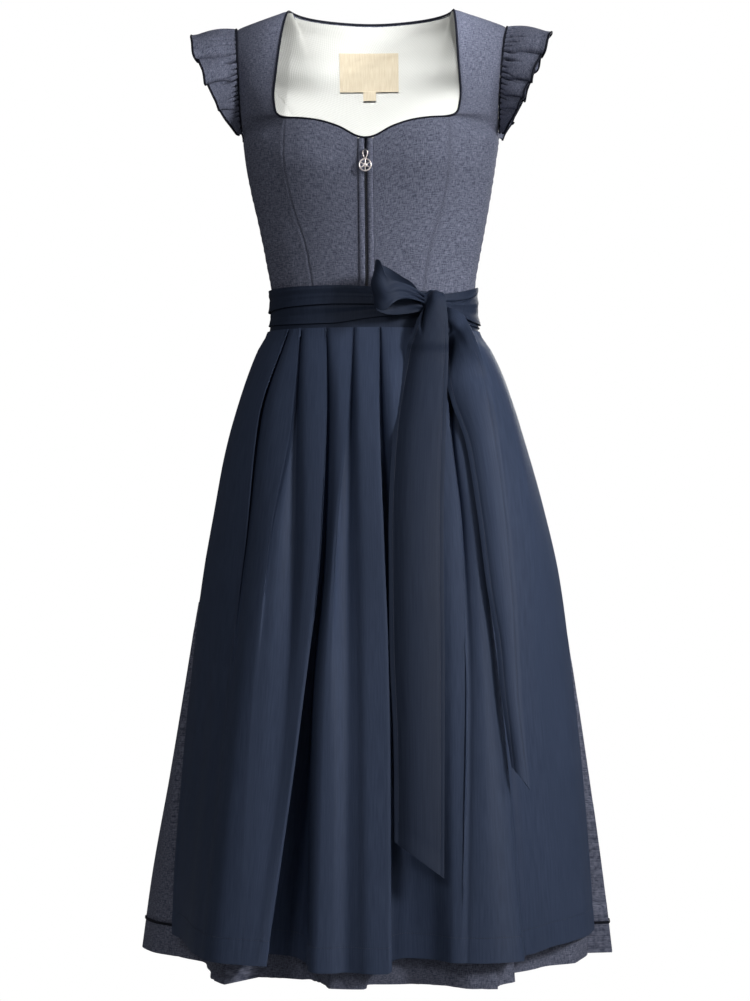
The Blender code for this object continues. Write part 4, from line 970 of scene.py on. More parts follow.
# Pleats of the apron: a row for each crest, hollow and folded edge, from its left side to its right side.
# Each has its places at the five levels, its heights there in mm beyond the flared form, and its steps to
# the next row. Places are x in mm, or turns in degrees on the flanks.
PLEAT_LEVELS = [0.0, 0.15, 0.34, 0.62, 1.0]
LEFT_FLANK = [
    (-94, -91, -87, -79, -69, 3.5, 3.5, 3.5, 3.5, 0, 12), (-77, -79, -75, -68, -60, 5, 6, 5, 3, -2, 12)]
FRONT_PLEATS = [
    (-95.5, -128, -141, -160, -182, 6.2, 10, 7, 4, 0, 3),
    (-93.4, -125.6, -137, -155, -175, 6.5, 10, 8, 6.5, 3, 4),
    (-94.8, -127.5, -138.5, -153, -172, 2.5, 1, 4, 6.8, 4.5, 3),
    (-92.6, -124.5, -135, -150, -167, 2.5, 0, 3, 7.6, 6, 4),
    (-91, -120, -131, -146, -161, 4.5, 5, 6, 9.5, 8, 5),
    (-87, -110, -124, -139, -151, 5.8, 9, 10, 12, 10, 6),
    (-80.4, -88, -109, -124, -133, 6.3, 11, 13, 13.5, 10.8, 3),
    (-78.4, -84.5, -105.7, -120.6, -128, 6.5, 11.5, 13, 13, 10.6, 4),
    (-80, -87, -106.6, -117, -125, 2.5, 1, 10, 12.4, 10.4, 3),
    (-78.3, -83, -97, -106, -120, 2.4, 0, 9, 10.8, 10, 5),
    (-77.6, -79.5, -80, -86, -113, 2.5, -3, -2, 6, 9, 4),
    (-75.5, -76, -73.5, -80, -110, 4.5, 4, 4, 7.5, 8.6, 5),
    (-70, -68, -65, -74.5, -107, 5.8, 9, 11, 9.5, 7.6, 8),
    (-49.4, -46.6, -50, -68.5, -103, 6.3, 11.8, 14.5, 11.5, 5.5, 4),
    (-47.4, -43.6, -46.3, -65.4, -99.6, 6.5, 12, 15, 10, 2, 5),
    (-49.6, -49, -54, -76, -112, 2.5, -2, -8, -28, -46, 5),
    (-47, -44.5, -49, -70, -106, 2.4, -3.4, -12, -40, -62, 4),
    (-46.4, -42, -45, -60, -78, 2.7, -2.6, -12, -42, -64, 5),
    (-45, -39.5, -42, -55.5, -59, 4, 2, -4, -24, -38, 5),
    (-41, -35, -38.5, -52.5, -55.5, 5.4, 7, 4, -5, -12, 5),
    (-32, -29, -35, -48, -51, 6, 10.5, 11, 4, -1, 5), (-17.7, -21, -31, -40, -43, 6.3, 11.8, 14, 9, 4, 3),
    (-15.7, -18.6, -28.4, -34, -35, 6.5, 12, 14, 9.4, 4.4, 4),
    (-17.5, -22, -29.5, -27, -26, 2.5, -1, 8, 7.6, 2.6, 4),
    (-14.8, -16, -18, -14, -12, 2.5, -2, -3, -2.5, -6, 5),
    (-13, -12, -10, -4, 0, 4.5, 3.5, 2, 0.5, -3, 5), (-8, -5, 0, 6, 12, 5.8, 9, 9.5, 6.5, 2.8, 8),
    (12.8, 15, 21.5, 29.5, 33, 6.3, 12, 14.5, 9, 4.5, 4),
    (14.8, 17.4, 24.3, 33, 36.4, 6.5, 12, 14, 7, 2, 5), (12.6, 13, 18, 25, 29, 2.5, -4, -14, -24, -30, 5),
    (15.6, 19, 26, 34, 38, 2.4, -5, -17, -30, -34, 4), (17.5, 23, 36, 48, 55, 4.5, 2, -12, -28, -32, 5),
    (28, 36, 46, 60, 70, 5.8, 9, -2, -20, -28, 6), (50, 52, 60, 74, 84, 5, 6, 0, -10, -22, 6),
    (80, 84, 96, 104, 104, 5.8, 9.5, 10, 6, 0, 6), (93, 97, 111.6, 119, 114, 6.4, 11, 13, 9, 3, 4),
    (91.6, 94, 109, 118, 116, 2.5, 0, 3, 6, 3, 3), (93.8, 98.5, 113, 121.5, 119, 2.5, -1, 0, 4, 3, 3),
    (95.5, 101, 117, 126, 124, 4.5, 4, 5, 7, 5, 4), (100, 108, 124, 138, 145, 5.8, 8.5, 10, 12, 9, 6),
    (106.5, 118.5, 131, 155, 178, 6.3, 10, 13, 14, 11, 3),
    (108.5, 121, 134, 158.7, 182.7, 6.5, 10, 12.5, 12, 8, 4),
    (107, 118, 131, 155.5, 179, 2.5, 0, -1, -5, -8, 3),
    (109.3, 122.5, 136, 160.5, 184.5, 2.5, -1, -2, -6, -9, 4),
    (111, 126, 141, 167, 192, 4, 3, 2, -3, -7, 8)]
RIGHT_FLANK = [
    (78, 75, 66, 58, 56, 4, 6, 6, 4, -2, 14), (84, 82, 76, 70, 68, 4, 4, 4, 3, 0, 8),
    (93, 91, 88, 85, 82, 3.5, 3.5, 3.5, 3.5, 0, 1)]
PLEATS = LEFT_FLANK + FRONT_PLEATS + RIGHT_FLANK
APRON_ROWS = 100
APRON_LENGTH = 0.715
APRON_LOW_Z = -1.099

# The apron's hem: its height and the reach in mm of its smooth flare, by turn
APRON_HEM = Curve([(turn, z * MM) for turn, z in (
    (-69, -1097), (-26.8, -1097), (-22.4, -1098), (-20, -1099), (-15.8, -1102), (-12.1, -1106),
    (-6.5, -1106.5), (3, -1106.5), (6.7, -1106), (9.3, -1098), (12.8, -1095), (82, -1095))])
FLARE_REACH = Curve([
    (-69, 249), (-60, 252), (-46, 276), (-32, 304), (-20, 292), (-6, 274), (6, 275), (20, 288), (35, 302),
    (45, 288), (57, 272), (82, 273)])
FLARE_START = 0.22
FLARE_CURVE = 1.35
APRON_HEM_FOLD = 0.027
APRON_SIDE_FOLD = 0.010
SECTIONS = {}


def flared(turn, level):
    """Height and reach in mm of the apron's smooth form, which swings out to its hem."""
    z = blend(APRON_TOP_Z, APRON_HEM(turn), level)
    rise = max((level - FLARE_START) / (1 - FLARE_START), 0.0) ** FLARE_CURVE
    hem = FLARE_REACH(turn) - form_radius(turn, HEM_Z) / MM
    return z, form_radius(turn, z) / MM + hem * rise


def pleat_spot(pleat, level):
    """Turn and height in mm of one row of the pleats at a level."""
    place, height = (Curve(zip(PLEAT_LEVELS, values))(level) for values in (pleat[:5], pleat[5:10]))
    if pleat in LEFT_FLANK or pleat in RIGHT_FLANK:
        return place, height
    turn = math.copysign(20, place)
    for _ in range(7):
        reach = flared(turn, level)[1] + height
        turn = 0.5 * turn + 0.5 * math.degrees(math.asin(min(max(place / reach, -0.99), 0.99)))
    return turn, height


def apron_section(level):
    """Turns, heights and reaches in metres across the apron at a level."""
    key = round(min(max(level, 0.0), 1.0) * APRON_ROWS)
    if key not in SECTIONS:
        level = key / APRON_ROWS
        turns, heights = map(numbered_curve, zip(*(pleat_spot(pleat, level) for pleat in PLEATS)))
        places = [k + i / pleat[-1] for k, pleat in enumerate(PLEATS[:-1]) for i in range(pleat[-1])]
        SECTIONS[key] = []
        for s in places + [len(PLEATS) - 1]:
            z, reach = flared(turns(s), level)
            SECTIONS[key].append((turns(s), z, (reach + heights(s)) * MM))
    return SECTIONS[key]


def apron_level(z):
    return (z - APRON_TOP_Z) / (APRON_LOW_Z - APRON_TOP_Z)


def apron_limit(turn, z):
    """The apron's smallest reach near a turn, or None beside it or above it."""
    if apron_level(z) < 0:
        return None
    section = apron_section(apron_level(z))
    near = [reach for other, _, reach in section if abs(other - turn) < APRON_SKIRT_MARGIN]
    return min(near, default=None)


def hem_relief(above, run):
    """A sewn hem's relief: its doubled cloth, the groove of its stitches and their puckers."""
    doubled = 0.00045 / (1 + math.exp(min(max(above / 0.0012, -30), 30)))
    return (doubled - 0.0005 * ridge(above, 0, 0.0014)
            + 0.00022 * ridge(above, 0, 0.006) * math.sin(TAU * run / 0.0061))


def apron_relief(grid):
    """Fine forms of the apron: gathers under the band, soft side folds and the sewn hem."""
    columns = len(grid[0]) - 1
    runs = runs_along(grid[0])

    def relief(p, i, j):
        run = runs[j]
        down, up = grid[-1][j].z - p.z, p.z - grid[0][j].z
        level = down / (down + up)
        out = 0.00045 * math.sin(TAU * 118 * j / columns) * ridge(down, 0, 0.016)
        out += 0.0011 * level * math.sin(TAU * run / 0.19 + 2.2 * level + 1.1)
        out += 0.0007 * level * math.sin(TAU * run / 0.071 - 3.1 * level)
        out += hem_relief(up - APRON_HEM_FOLD, run)
        side = min(run, runs[-1] - run)
        return out + (0.4 * hem_relief(side - APRON_SIDE_FOLD, p.z) if side < 0.03 else 0.0)

    return relieved(grid, relief)


def skirt(folds, steps):
    """A skirt panel and the number of its tuck's row. Under the apron it keeps clear of it."""
    curves = []
    for top_turn, top_out, mid_turn, mid_out, hem_turn, hem_reach in folds:
        hem_out = hem_reach - form_radius(hem_turn, HEM_Z) / MM
        curves.append((Curve([(0, top_turn), (MID_LEVEL, mid_turn), (1, hem_turn)]),
                       Curve([(0, top_out), (MID_LEVEL, mid_out), (1, hem_out)])))
    levels = sorted({k / SKIRT_ROWS for k in range(SKIRT_ROWS + 1)} | {TUCK_LEVEL}, reverse=True)
    grid = []
    for level in levels:
        z = blend(WAIST_SEAM_Z - SEAM, HEM_Z, level)
        line = Curve([(turn(level), out(level) * MM) for turn, out in curves], level_ends=True)
        turns = [blend(a, b, k / steps) for a, b in zip(line.x, line.x[1:]) for k in range(steps)]
        points = []
        for turn in turns + [line.x[-1]]:
            reach = form_radius(turn, z) + line(turn)
            limit = apron_limit((turn + 180) % 360 - 180, z)
            if limit is not None:
                reach = min(reach, limit - blend(UNDER_APRON_TOP, UNDER_APRON_HEM, level))
            gap = math.degrees(SEAM / 2 / reach)
            points.append(at(turn + {line.x[0]: gap, line.x[-1]: -gap}.get(turn, 0.0), z, reach))
        grid.append(points)
    return grid, levels.index(TUCK_LEVEL)


def skirt_relief(grid):
    """Fine forms of the skirt: gathers under the sash, slack between the folds and the side seams' dips."""
    columns = len(grid[0]) - 1
    runs = runs_along(grid[0])

    def relief(p, i, j):
        down = WAIST_SEAM_Z - p.z
        level = down / (WAIST_SEAM_Z - HEM_Z)
        out = 0.0011 * math.sin(TAU * 40 * j / columns) * ridge(down, 0, 0.11)
        out += 0.0012 * level * math.sin(TAU * runs[j] / 0.16 + 2.6 * level)
        out += 0.0006 * level * math.sin(TAU * runs[j] / 0.063 - 4.0 * level + 0.8)
        edge = min((p - grid[i][0]).length, (p - grid[i][-1]).length)
        return out - SEAM_DIP * ridge(edge, 0, 0.002)

    return relieved(grid, relief)


def build_skirt():
    for name, folds, steps in SKIRT_PANELS:
        grid, row = skirt(folds, steps)
        grid = skirt_relief(grid)
        cloth("cloth_skirt_" + name, grid, SKIRT_CLOTH, MELANGE, "skirt_" + name, "sash_wrap_lower",
              offset=0.0)
        near, far = [], []
        for low, high, n in zip(grid[row], grid[row + 1], grid_normals(grid)[row]):
            near.append(low + n * 0.0011)
            far.append(low.lerp(high, TUCK_WIDTH / (high - low).length) + n * 0.0012)
        tuck = walled(cloth_grid("tuck_" + name, [near, far]), FOLDED_CLOTH, 1.0)
        dressed(tuck, TRIM, ["hem_tuck_" + name])
        span(near)
        SMALLEST_SHARE * span(near) * TUCK_CUT


def build_apron():
    levels = [k / APRON_ROWS for k in range(APRON_ROWS, -1, -1)]
    grid = apron_relief([[at(*spot) for spot in apron_section(level)] for level in levels])
    cloth("cloth_apron", grid, THIN_CLOTH, PAINTED_LIT_SATIN, "apron", "band_waist")
    place = APRON_HEM_FOLD / APRON_LENGTH * APRON_ROWS
    row = int(place)
    line = [a.lerp(b, place - row) for a, b in zip(grid[row], grid[row + 1])]
    stitches("stitches_apron_hem", [(line, grid_normals(grid)[row])], NAVY_THREAD)


# Sash, in mm: the edges of its two wraps round the waist: turn, top, line between the wraps, bottom
SASH = [
    (-180, -338, -360, -381), (-90, -338.5, -364, -380), (-45, -337.8, -360.5, -382),
    (-25, -337.8, -359.5, -382), (0, -339.5, -360, -376.5), (14, -342, -360.5, -374),
    (38, -344.5, -361, -373), (48, -347, -364.5, -376), (62, -343.5, -372.5, -379.5),
    (76, -338, -378.5, -382.5), (90, -334, -379.5, -383), (112, -336, -373, -382),
    (135, -338, -360, -381), (180, -338, -360, -381)]
SASH_SIDES = 240
WRAP_ROWS = 30
WAISTBAND_OUT = 0.0024
LOWER_WRAP_OUT = 0.0041
UPPER_WRAP_TOP_OUT = 0.0034
UPPER_WRAP_BOTTOM_OUT = 0.0066
WRAP_OVERLAP = 0.003

# Folds pressed along the sash: turn and share of the wrap's height where each starts and ends, its width as
# such a share and its height in mm
UPPER_FOLDS = [
    (-96, 0.62, 34, 0.50, 0.10, -1.0), (-70, 0.30, 36, 0.34, 0.08, -0.8), (-110, 0.78, 10, 0.86, 0.08, 0.7),
    (42, 0.46, 94, 0.82, 0.035, -3.2), (44, 0.34, 96, 0.68, 0.07, 1.6), (46, 0.60, 92, 0.92, 0.04, 1.2),
    (43, 0.20, 100, 0.30, 0.09, -1.1), (95, 0.55, 178, 0.48, 0.10, -1.0), (110, 0.25, 179, 0.30, 0.08, 0.8),
    (-178, 0.46, -100, 0.60, 0.10, -1.0), (-176, 0.80, -104, 0.76, 0.09, 0.7)]
LOWER_FOLDS = [
    (-92, 0.42, 22, 0.50, 0.10, -0.9), (-60, 0.75, 30, 0.66, 0.09, 0.8), (44, 0.62, 96, 0.44, 0.09, -1.2),
    (46, 0.38, 90, 0.16, 0.09, 0.8), (98, 0.46, 178, 0.58, 0.10, -0.9), (-177, 0.56, -96, 0.44, 0.10, -0.9)]


def sash_relief(folds, turn, share):
    """How far the pressed folds of a wrap raise it."""
    total = 0.0
    for turn0, share0, turn1, share1, width, height in folds:
        t = (turn - turn0) / (turn1 - turn0)
        if 0 <= t <= 1:
            middle = blend(share0, share1, t) + 0.03 * math.sin(5.3 * t + turn0)
            total += height * ridge(share, middle, width) * max(math.sin(math.pi * t), 0.0) ** 0.6
    return total * MM


def ring(edge, v):
    """A row of points all round the waist. Its edge gives height and reach beyond the form at a turn."""
    row = [form(turn, *edge(v, turn)) for turn in (-180 + 360 * k / SASH_SIDES for k in range(SASH_SIDES))]
    return row + [row[0].copy()]


def build_sash():
    """The apron's waistband and the sash's two wraps over it."""
    top, middle, bottom = (Curve([(row[0], row[k] * MM) for row in SASH]) for k in (1, 2, 3))

    def band_edge(v, turn):
        return blend(APRON_TOP_Z + SEAM, WAIST_SEAM_Z, v), WAISTBAND_OUT

    def lower_edge(v, turn):
        roll = 0.0007 * ridge(v, 0, 0.10)
        z = blend(bottom(turn), middle(turn) + WRAP_OVERLAP, v)
        return z, LOWER_WRAP_OUT + roll + sash_relief(LOWER_FOLDS, turn, v)

    def upper_edge(v, turn):
        roll = 0.0004 * (ridge(v, 0, 0.10) + ridge(v, 1, 0.10))
        base = blend(UPPER_WRAP_BOTTOM_OUT, UPPER_WRAP_TOP_OUT, v)
        return blend(middle(turn), top(turn), v), base + roll + sash_relief(UPPER_FOLDS, turn, v)

    for name, edge, rows, thick, node, rests_on in (
            ("band_waist", band_edge, 2, BAND_CLOTH, "apron_waistband", "cloth_skirt_front"),
            ("sash_wrap_lower", lower_edge, WRAP_ROWS, SASH_CLOTH, "sash_lower_wrap", "band_waist"),
            ("sash_wrap_upper", upper_edge, WRAP_ROWS, SASH_CLOTH, "sash_upper_wrap", "sash_wrap_lower")):
        cloth(name, stations(rows, partial(ring, edge)), thick, PAINTED_SHADED_SATIN, node, rests_on,
              closed=True)


# Knot: where it is on the form, and its size as half across, half deep and half high
KNOT_TURN = 38.0
KNOT_OUT = 0.0180
KNOT_Z = -0.358
KNOT_SIZE = (0.0165, 0.0108, 0.0130)

# Bow loop, in mm: stations along the band from the knot round to the knot, with its upper and lower edge
LOOP = [
    (67.2, -110.2, -351, 66.8, -109.8, -360.5), (59.5, -121, -346, 57.5, -122.5, -358),
    (48.5, -134, -341, 46, -137.5, -357), (37, -143, -338, 35, -148, -362),
    (27, -148, -335.5, 25, -150, -371.5), (19, -147, -316, 16, -145, -370),
    (14, -138, -313, 11.5, -134, -365), (15, -126, -315, 15, -123.5, -370.5),
    (27, -118.5, -320.5, 27, -115.5, -374), (42, -114.5, -330, 43, -111.5, -373.5),
    (55, -111.5, -338.5, 56, -109, -371.5), (64.5, -107, -353, 65.2, -106, -369)]
LOOP_STEPS = 12
LOOP_COLUMNS = 22

# Tails, in mm: x and z of the left and of the right edge at each station, then their depth, one for both or
# one each. Depth 0 is in front of the whole apron there, and None close to the apron at that edge.
MAIN_TAIL = [
    (75, -350.5, 87, -350, 97), (72.5, -349, 89, -348.6, 106), (71.5, -352.5, 91, -352.5, 112.2),
    (70, -360, 92.8, -360, 115), (65, -369, 94, -369, 116.4), (57.5, -385, 95.2, -385, 118),
    (50.5, -405, 95.9, -405, 121), (44.5, -430, 95.6, -430, 0), (34.5, -498, 93.7, -498, 0),
    (30, -589, 91.9, -589, 0), (31, -679, 92.4, -679, 0), (33, -768, 94, -768, 0),
    (37.8, -855, 94.3, -870, 0), (39.7, -964, 94.5, -1003, 0)]
SECOND_TAIL = [
    (87, -384, 87, -361, 98, 90), (93.5, -387, 95, -364.5, 103, 98),
    (96.5, -392, 104.5, -368.5, 105, 104), (95.5, -400, 114, -376.5, 104, 108.5),
    (93, -411, 122.7, -391, None, 113), (92, -426, 132, -415, None, 117), (93, -448, 140, -444, None, 0),
    (99.5, -476, 146, -472, None, 0), (116.5, -525, 155, -525, 0), (130, -607, 165.5, -607, 0),
    (140.5, -686, 173, -686, 0), (150.5, -745, 176.5, -745, 0), (157.5, -812, 180, -815, 0),
    (168.5, -885, 188.5, -910, 0)]
TAIL_STEPS = 14
TAIL_CLEAR = 0.0055
TUCKED_CLEAR = 0.0020
TAIL_CROWN = 0.0050
TAIL_LEFT_TURN = 0.0065
TAIL_HEM = 0.0052
TAIL_END_HEM = 0.0070

# The second tail's turned-over hood, by station: how far across it reaches and how deep it is in mm
HOOD_PLACE = Curve([(0, -0.2), (1, -0.1), (2, 0.22), (3, 0.45), (4, 0.66), (5, 0.76), (6, 0.85), (13, 0.9)])
HOOD_DEPTH = Curve([(0, 0), (1, 0), (2, 1.5), (3, 3.2), (4, 3.0), (5, 1.2), (6, 0), (7, 0), (13, 0)])


def band(lefts, rights, steps, columns):
    """A band lofted between smooth lines through the stations of its two edges. Rows run along it."""
    places = [k / steps for k in range((len(lefts) - 1) * steps + 1)]
    pairs = [(through(lefts, s), through(rights, s)) for s in places]
    return [[left.lerp(right, j / columns) for j in range(columns + 1)] for left, right in pairs]


def loop_relief(t, u):
    """Creases of the bow's loop, which fan out from the knot."""
    pinch = ridge(t, 0.0, 0.16) + ridge(t, 1.0, 0.14)
    out = 0.0016 * pinch * math.sin(TAU * 2.4 * u + 0.6)
    out += 0.0018 * ridge(t, 0.28, 0.16) * math.sin(math.pi * u)
    out -= 0.0014 * ridge(u, 0.42 + 0.25 * t, 0.10) * ridge(t, 0.22, 0.14)
    out += 0.0042 * ridge(t, 0.545, 0.11) * math.sin(math.pi * u)
    out += 0.0050 * ridge(t, 0.78, 0.12) * ridge(u, 0.72, 0.22)
    return out + 0.0009 * math.sin(TAU * (1.7 * u + 0.8 * t)) * math.sin(math.pi * t)


def apron_front(x, z):
    """How far the apron stands out towards the front near this place."""
    best = 0.0
    for turn, _, reach in apron_section(apron_level(z)):
        angle = math.radians(turn)
        if abs(reach * math.sin(angle) - x) < 0.014:
            best = max(best, reach * math.cos(angle))
    return best


def tail(table, columns):
    """A hanging end of the sash: it falls in front of the apron."""
    edges = [], []
    for left_x, left_z, right_x, right_z, *depths in table:
        across = [blend(left_x, right_x, k / 4) * MM for k in range(5)]
        for edge, x, z, depth in zip(edges, (left_x, right_x), (left_z, right_z), (depths[0], depths[-1])):
            x, z = x * MM, z * MM
            if depth is None:
                depth = apron_front(x, z) + TUCKED_CLEAR
            elif depth == 0:
                depth = max(apron_front(place, z) for place in across) + TAIL_CLEAR
            else:
                depth *= MM
            edge.append(Vector((x, -depth, z)))
    return band(*edges, TAIL_STEPS, columns)[::-1]


def tail_relief(grid, wave, crease, seed, hooded):
    """Soft lengthwise folds from the knot, the left third's turn away, and the tail's sewn edges."""
    rows, columns = len(grid) - 1, len(grid[0]) - 1
    length = span([row[0] for row in grid])
    widths = [span(row) for row in grid]
    left_turn = TAIL_LEFT_TURN * (0.15 if hooded else 1.0)

    def relief(p, i, j):
        t, u = 1 - i / rows, j / columns
        free = min(t / 0.22, 1.0)
        out = wave * ridge(t, 0, 0.10) * math.cos(TAU * 1.5 * (u - 0.42))
        out -= crease * math.exp(-((t - 0.33) / 0.08) ** 4) * ridge(u, 0.10 + 1.5 * (t - 0.31), 0.045)
        out += free * (TAIL_CROWN * math.sin(math.pi * u) - left_turn * ridge(u, 0, 0.22))
        out += 0.0010 * free * math.sin(TAU * (0.5 * u + 1.3 * t) + seed)
        if hooded:
            station = t * rows / TAIL_STEPS
            out -= HOOD_DEPTH(station) * MM / (1 + math.exp((u - HOOD_PLACE(station)) / 0.05))
        edge = min(u, 1 - u) * widths[i]
        out += 1.1 * min(max((t - 0.30) / 0.30, 0.0), 1.0) * hem_relief(edge - TAIL_HEM, t * length)
        return out + (1.6 * hem_relief((1 - t) * length - TAIL_END_HEM, 0.0) if t > 0.5 else 0.0)

    result = relieved(grid, relief)
    if not hooded:
        for i, row in enumerate(result):
            for j, p in enumerate(row):
                arch = 0.0028 * math.sin(math.pi * (j / columns)) * ridge(1 - i / rows, 0, 0.07)
                row[j] = p + Vector((0, 0, arch))
    return result


def tail_stitches(name, grid):
    """Stitches down both sides of a tail, from well below the knot to its end."""
    columns = len(grid[0]) - 1
    lines = []
    for side in (0, 1):
        points, normals = [], []
        for row, line in list(zip(grid, grid_normals(grid)))[3:-70]:
            s = abs(columns * side - TAIL_HEM / span(row) * columns)
            k = min(int(s), columns - 1)
            points.append(row[k].lerp(row[k + 1], s - k) + line[k] * 0.0004)
            normals.append(line[k])
        lines.append((points, normals))
    stitches(name, lines, NAVY_THREAD)


def build_knot():
    """The knot: a soft lump pulled into folds by the band that crosses it."""
    knot = made("uv_sphere", segments=48, ring_count=28, radius=1.0)
    knot.name = "knot_core"
    knot.data.uv_layers.active.name = "cloth"
    centre = form(KNOT_TURN, KNOT_Z, KNOT_OUT)
    turn = Matrix.Rotation(math.radians(KNOT_TURN), 3, "Z")
    for vert in knot.data.vertices:
        p = vert.co.copy()
        groove = 0.10 * math.sin(5 * math.atan2(p.z, p.x) + 2.2 * p.y + 0.4) * (1 - abs(p.y))
        size = 1 + groove - 0.06 * ridge(p.x, -0.35, 0.16) + 0.05 * ridge(p.z, 0.2, 0.3)
        vert.co = centre + turn @ Vector([place * half * size for place, half in zip(p, KNOT_SIZE)])
    bpy.ops.object.shade_smooth()
    dressed(knot, PAINTED_SHADED_SATIN, ["bow_knot"])


def build_bow():
    build_knot()
    loop = band([mm(*row[:3]) for row in LOOP], [mm(*row[3:]) for row in LOOP], LOOP_STEPS, LOOP_COLUMNS)
    rows = len(loop) - 1
    loop = relieved([row[::-1] for row in loop], lambda p, i, j: loop_relief(i / rows, j / LOOP_COLUMNS))
    cloth("bow_loop_band", loop, THIN_CLOTH, PAINTED_SHADED_SATIN, "bow_loop", "knot_core", offset=0.0)
    for name, grid, look, node in (
            ("long", tail_relief(tail(MAIN_TAIL, 40), 0.0010, 0.0070, 0.4, False), PAINTED_SHADED_SATIN, "main"),
            ("short", tail_relief(tail(SECOND_TAIL, 30), 0.0008, 0.0, 1.9, True), PAINTED_LIT_SATIN, "second")):
        cloth("bow_tail_" + name, grid, THIN_CLOTH, look, "bow_tail_" + node, "knot_core",
              offset=0.0)
        tail_stitches("stitches_tail_" + name, grid)


# Zip and its folded lips. The pull hangs from its crossbar, which runs through the slider's bridge.
PLACKET_TOP_Z = -0.1745
PLACKET_BOTTOM_Z = -0.3505
SLOT_EDGE = 0.0011
LIP_EDGE = PLACKET_HALF - 0.0006
LIP_TOP_Z = -0.1708
LIP_TUCK = 0.0030
LIP_ROWS = 70
LIP_COLUMNS = 20
TAPE_HALF = 0.0085
TAPE_INSET = 0.0020
TAPE_ROWS = 30
TOOTH_SIZE = (0.0024, 0.0011, 0.0013)
TOOTH_STEP = 0.0021
TOOTH_OUT = 0.0009
TOOTH_ASIDE = 0.0009
TEETH_LOW_GAP = 0.002
TEETH_TOP_GAP = 0.012
HINGE = Vector((0, -0.1250, -0.1862))
CROSSBAR = 0.0006
CHARM_RADIUS = 0.0068
CHARM_WIRE = 0.0009
CHARM_DROP = 0.0160
BOSS_RADIUS = 0.0019

# The pull's wire loop: its corners in the pull's plane, and how far a corner's round reaches at most
WIRE_CORNERS = [(-0.0029, 0), (0.0029, 0), (0.0029, -0.0035), (0.0008, -0.0084), (-0.0008, -0.0084),
                (-0.0029, -0.0035)]
WIRE_ROUND = 0.0018


def lip_place(u):
    """Distance from the mid-line and height of a folded lip: its roll, step and part under the bodice."""
    if u < 0.7:
        share = u / 0.7
        roll = 0.0004 + 0.0019 * max(math.sin(math.pi * min(share * 0.94, 1.0)), 0.0) ** 0.7
        return blend(SLOT_EDGE, LIP_EDGE, share), roll - 0.0030 * ridge(share, 0.0, 0.10)
    if u < 0.85:
        share = (u - 0.7) / 0.15
        return blend(LIP_EDGE, PLACKET_HALF, share), blend(0.0002, -0.0014, share)
    return blend(PLACKET_HALF, PLACKET_HALF + LIP_TUCK, (u - 0.85) / 0.15), -0.0015


def build_placket():
    """The two folded lips that meet over the zip, tucked under the bodice's fronts."""
    def spot(z, u):
        x, out = lip_place(u)
        return form(turn_at(x, z), z, out + 0.0002 * math.sin(TAU * z / 0.011))

    heights = stations(LIP_ROWS, partial(blend, PLACKET_BOTTOM_Z, LIP_TOP_Z))
    for name, lip in both_sides("placket", [stations(LIP_COLUMNS, partial(spot, z)) for z in heights]):
        cloth("cloth_" + name, lip, FOLDED_CLOTH, MELANGE, name,
              name.replace("placket", "cloth_bodice_front"))


def build_zip():
    """The tape behind the lips and the row of teeth on it."""
    heights = stations(TAPE_ROWS, partial(blend, PLACKET_BOTTOM_Z, LIP_TOP_Z + 0.0006))
    tape = [[form(turn_at(TAPE_HALF * (j / 4 - 1), z), z, -TAPE_INSET) for j in range(9)] for z in heights]
    cloth("tape_zip", tape, FOLDED_CLOTH, TRIM, "zip_tape", "cloth_placket_right")
    tooth = made("cube", size=1)
    tooth.scale = TOOTH_SIZE
    bpy.ops.object.transform_apply(location=False, rotation=False, scale=True)
    edited(tooth, partial(bpy.ops.mesh.bevel, offset=0.0003, segments=2))
    places = []
    for k in range(int((PLACKET_TOP_Z - TEETH_TOP_GAP - PLACKET_BOTTOM_Z) / TOOTH_STEP * 2)):
        z = PLACKET_BOTTOM_Z + TEETH_LOW_GAP + k * TOOTH_STEP / 2
        centre = form(0.0, z, TOOTH_OUT - TAPE_INSET)
        centre.x += TOOTH_ASIDE if k % 2 else -TOOTH_ASIDE
        places.append(Matrix.Translation(centre))
    copied("teeth_zip", tooth, places, COIL, 40)


def wire_route():
    """The wire loop's line, with its corners rounded."""
    corners = [Vector((x, 0, z)) for x, z in WIRE_CORNERS]
    route = []
    for last, here, coming in zip(corners[-1:] + corners, corners, corners[1:] + corners):
        radius = min((here - last).length, (here - coming).length, WIRE_ROUND) * 0.45
        start = here + (last - here).normalized() * radius
        end = here + (coming - here).normalized() * radius
        route += [HINGE + start.lerp(here, t).lerp(here.lerp(end, t), t) for t in (0, 0.25, 0.5, 0.75, 1)]
    return route


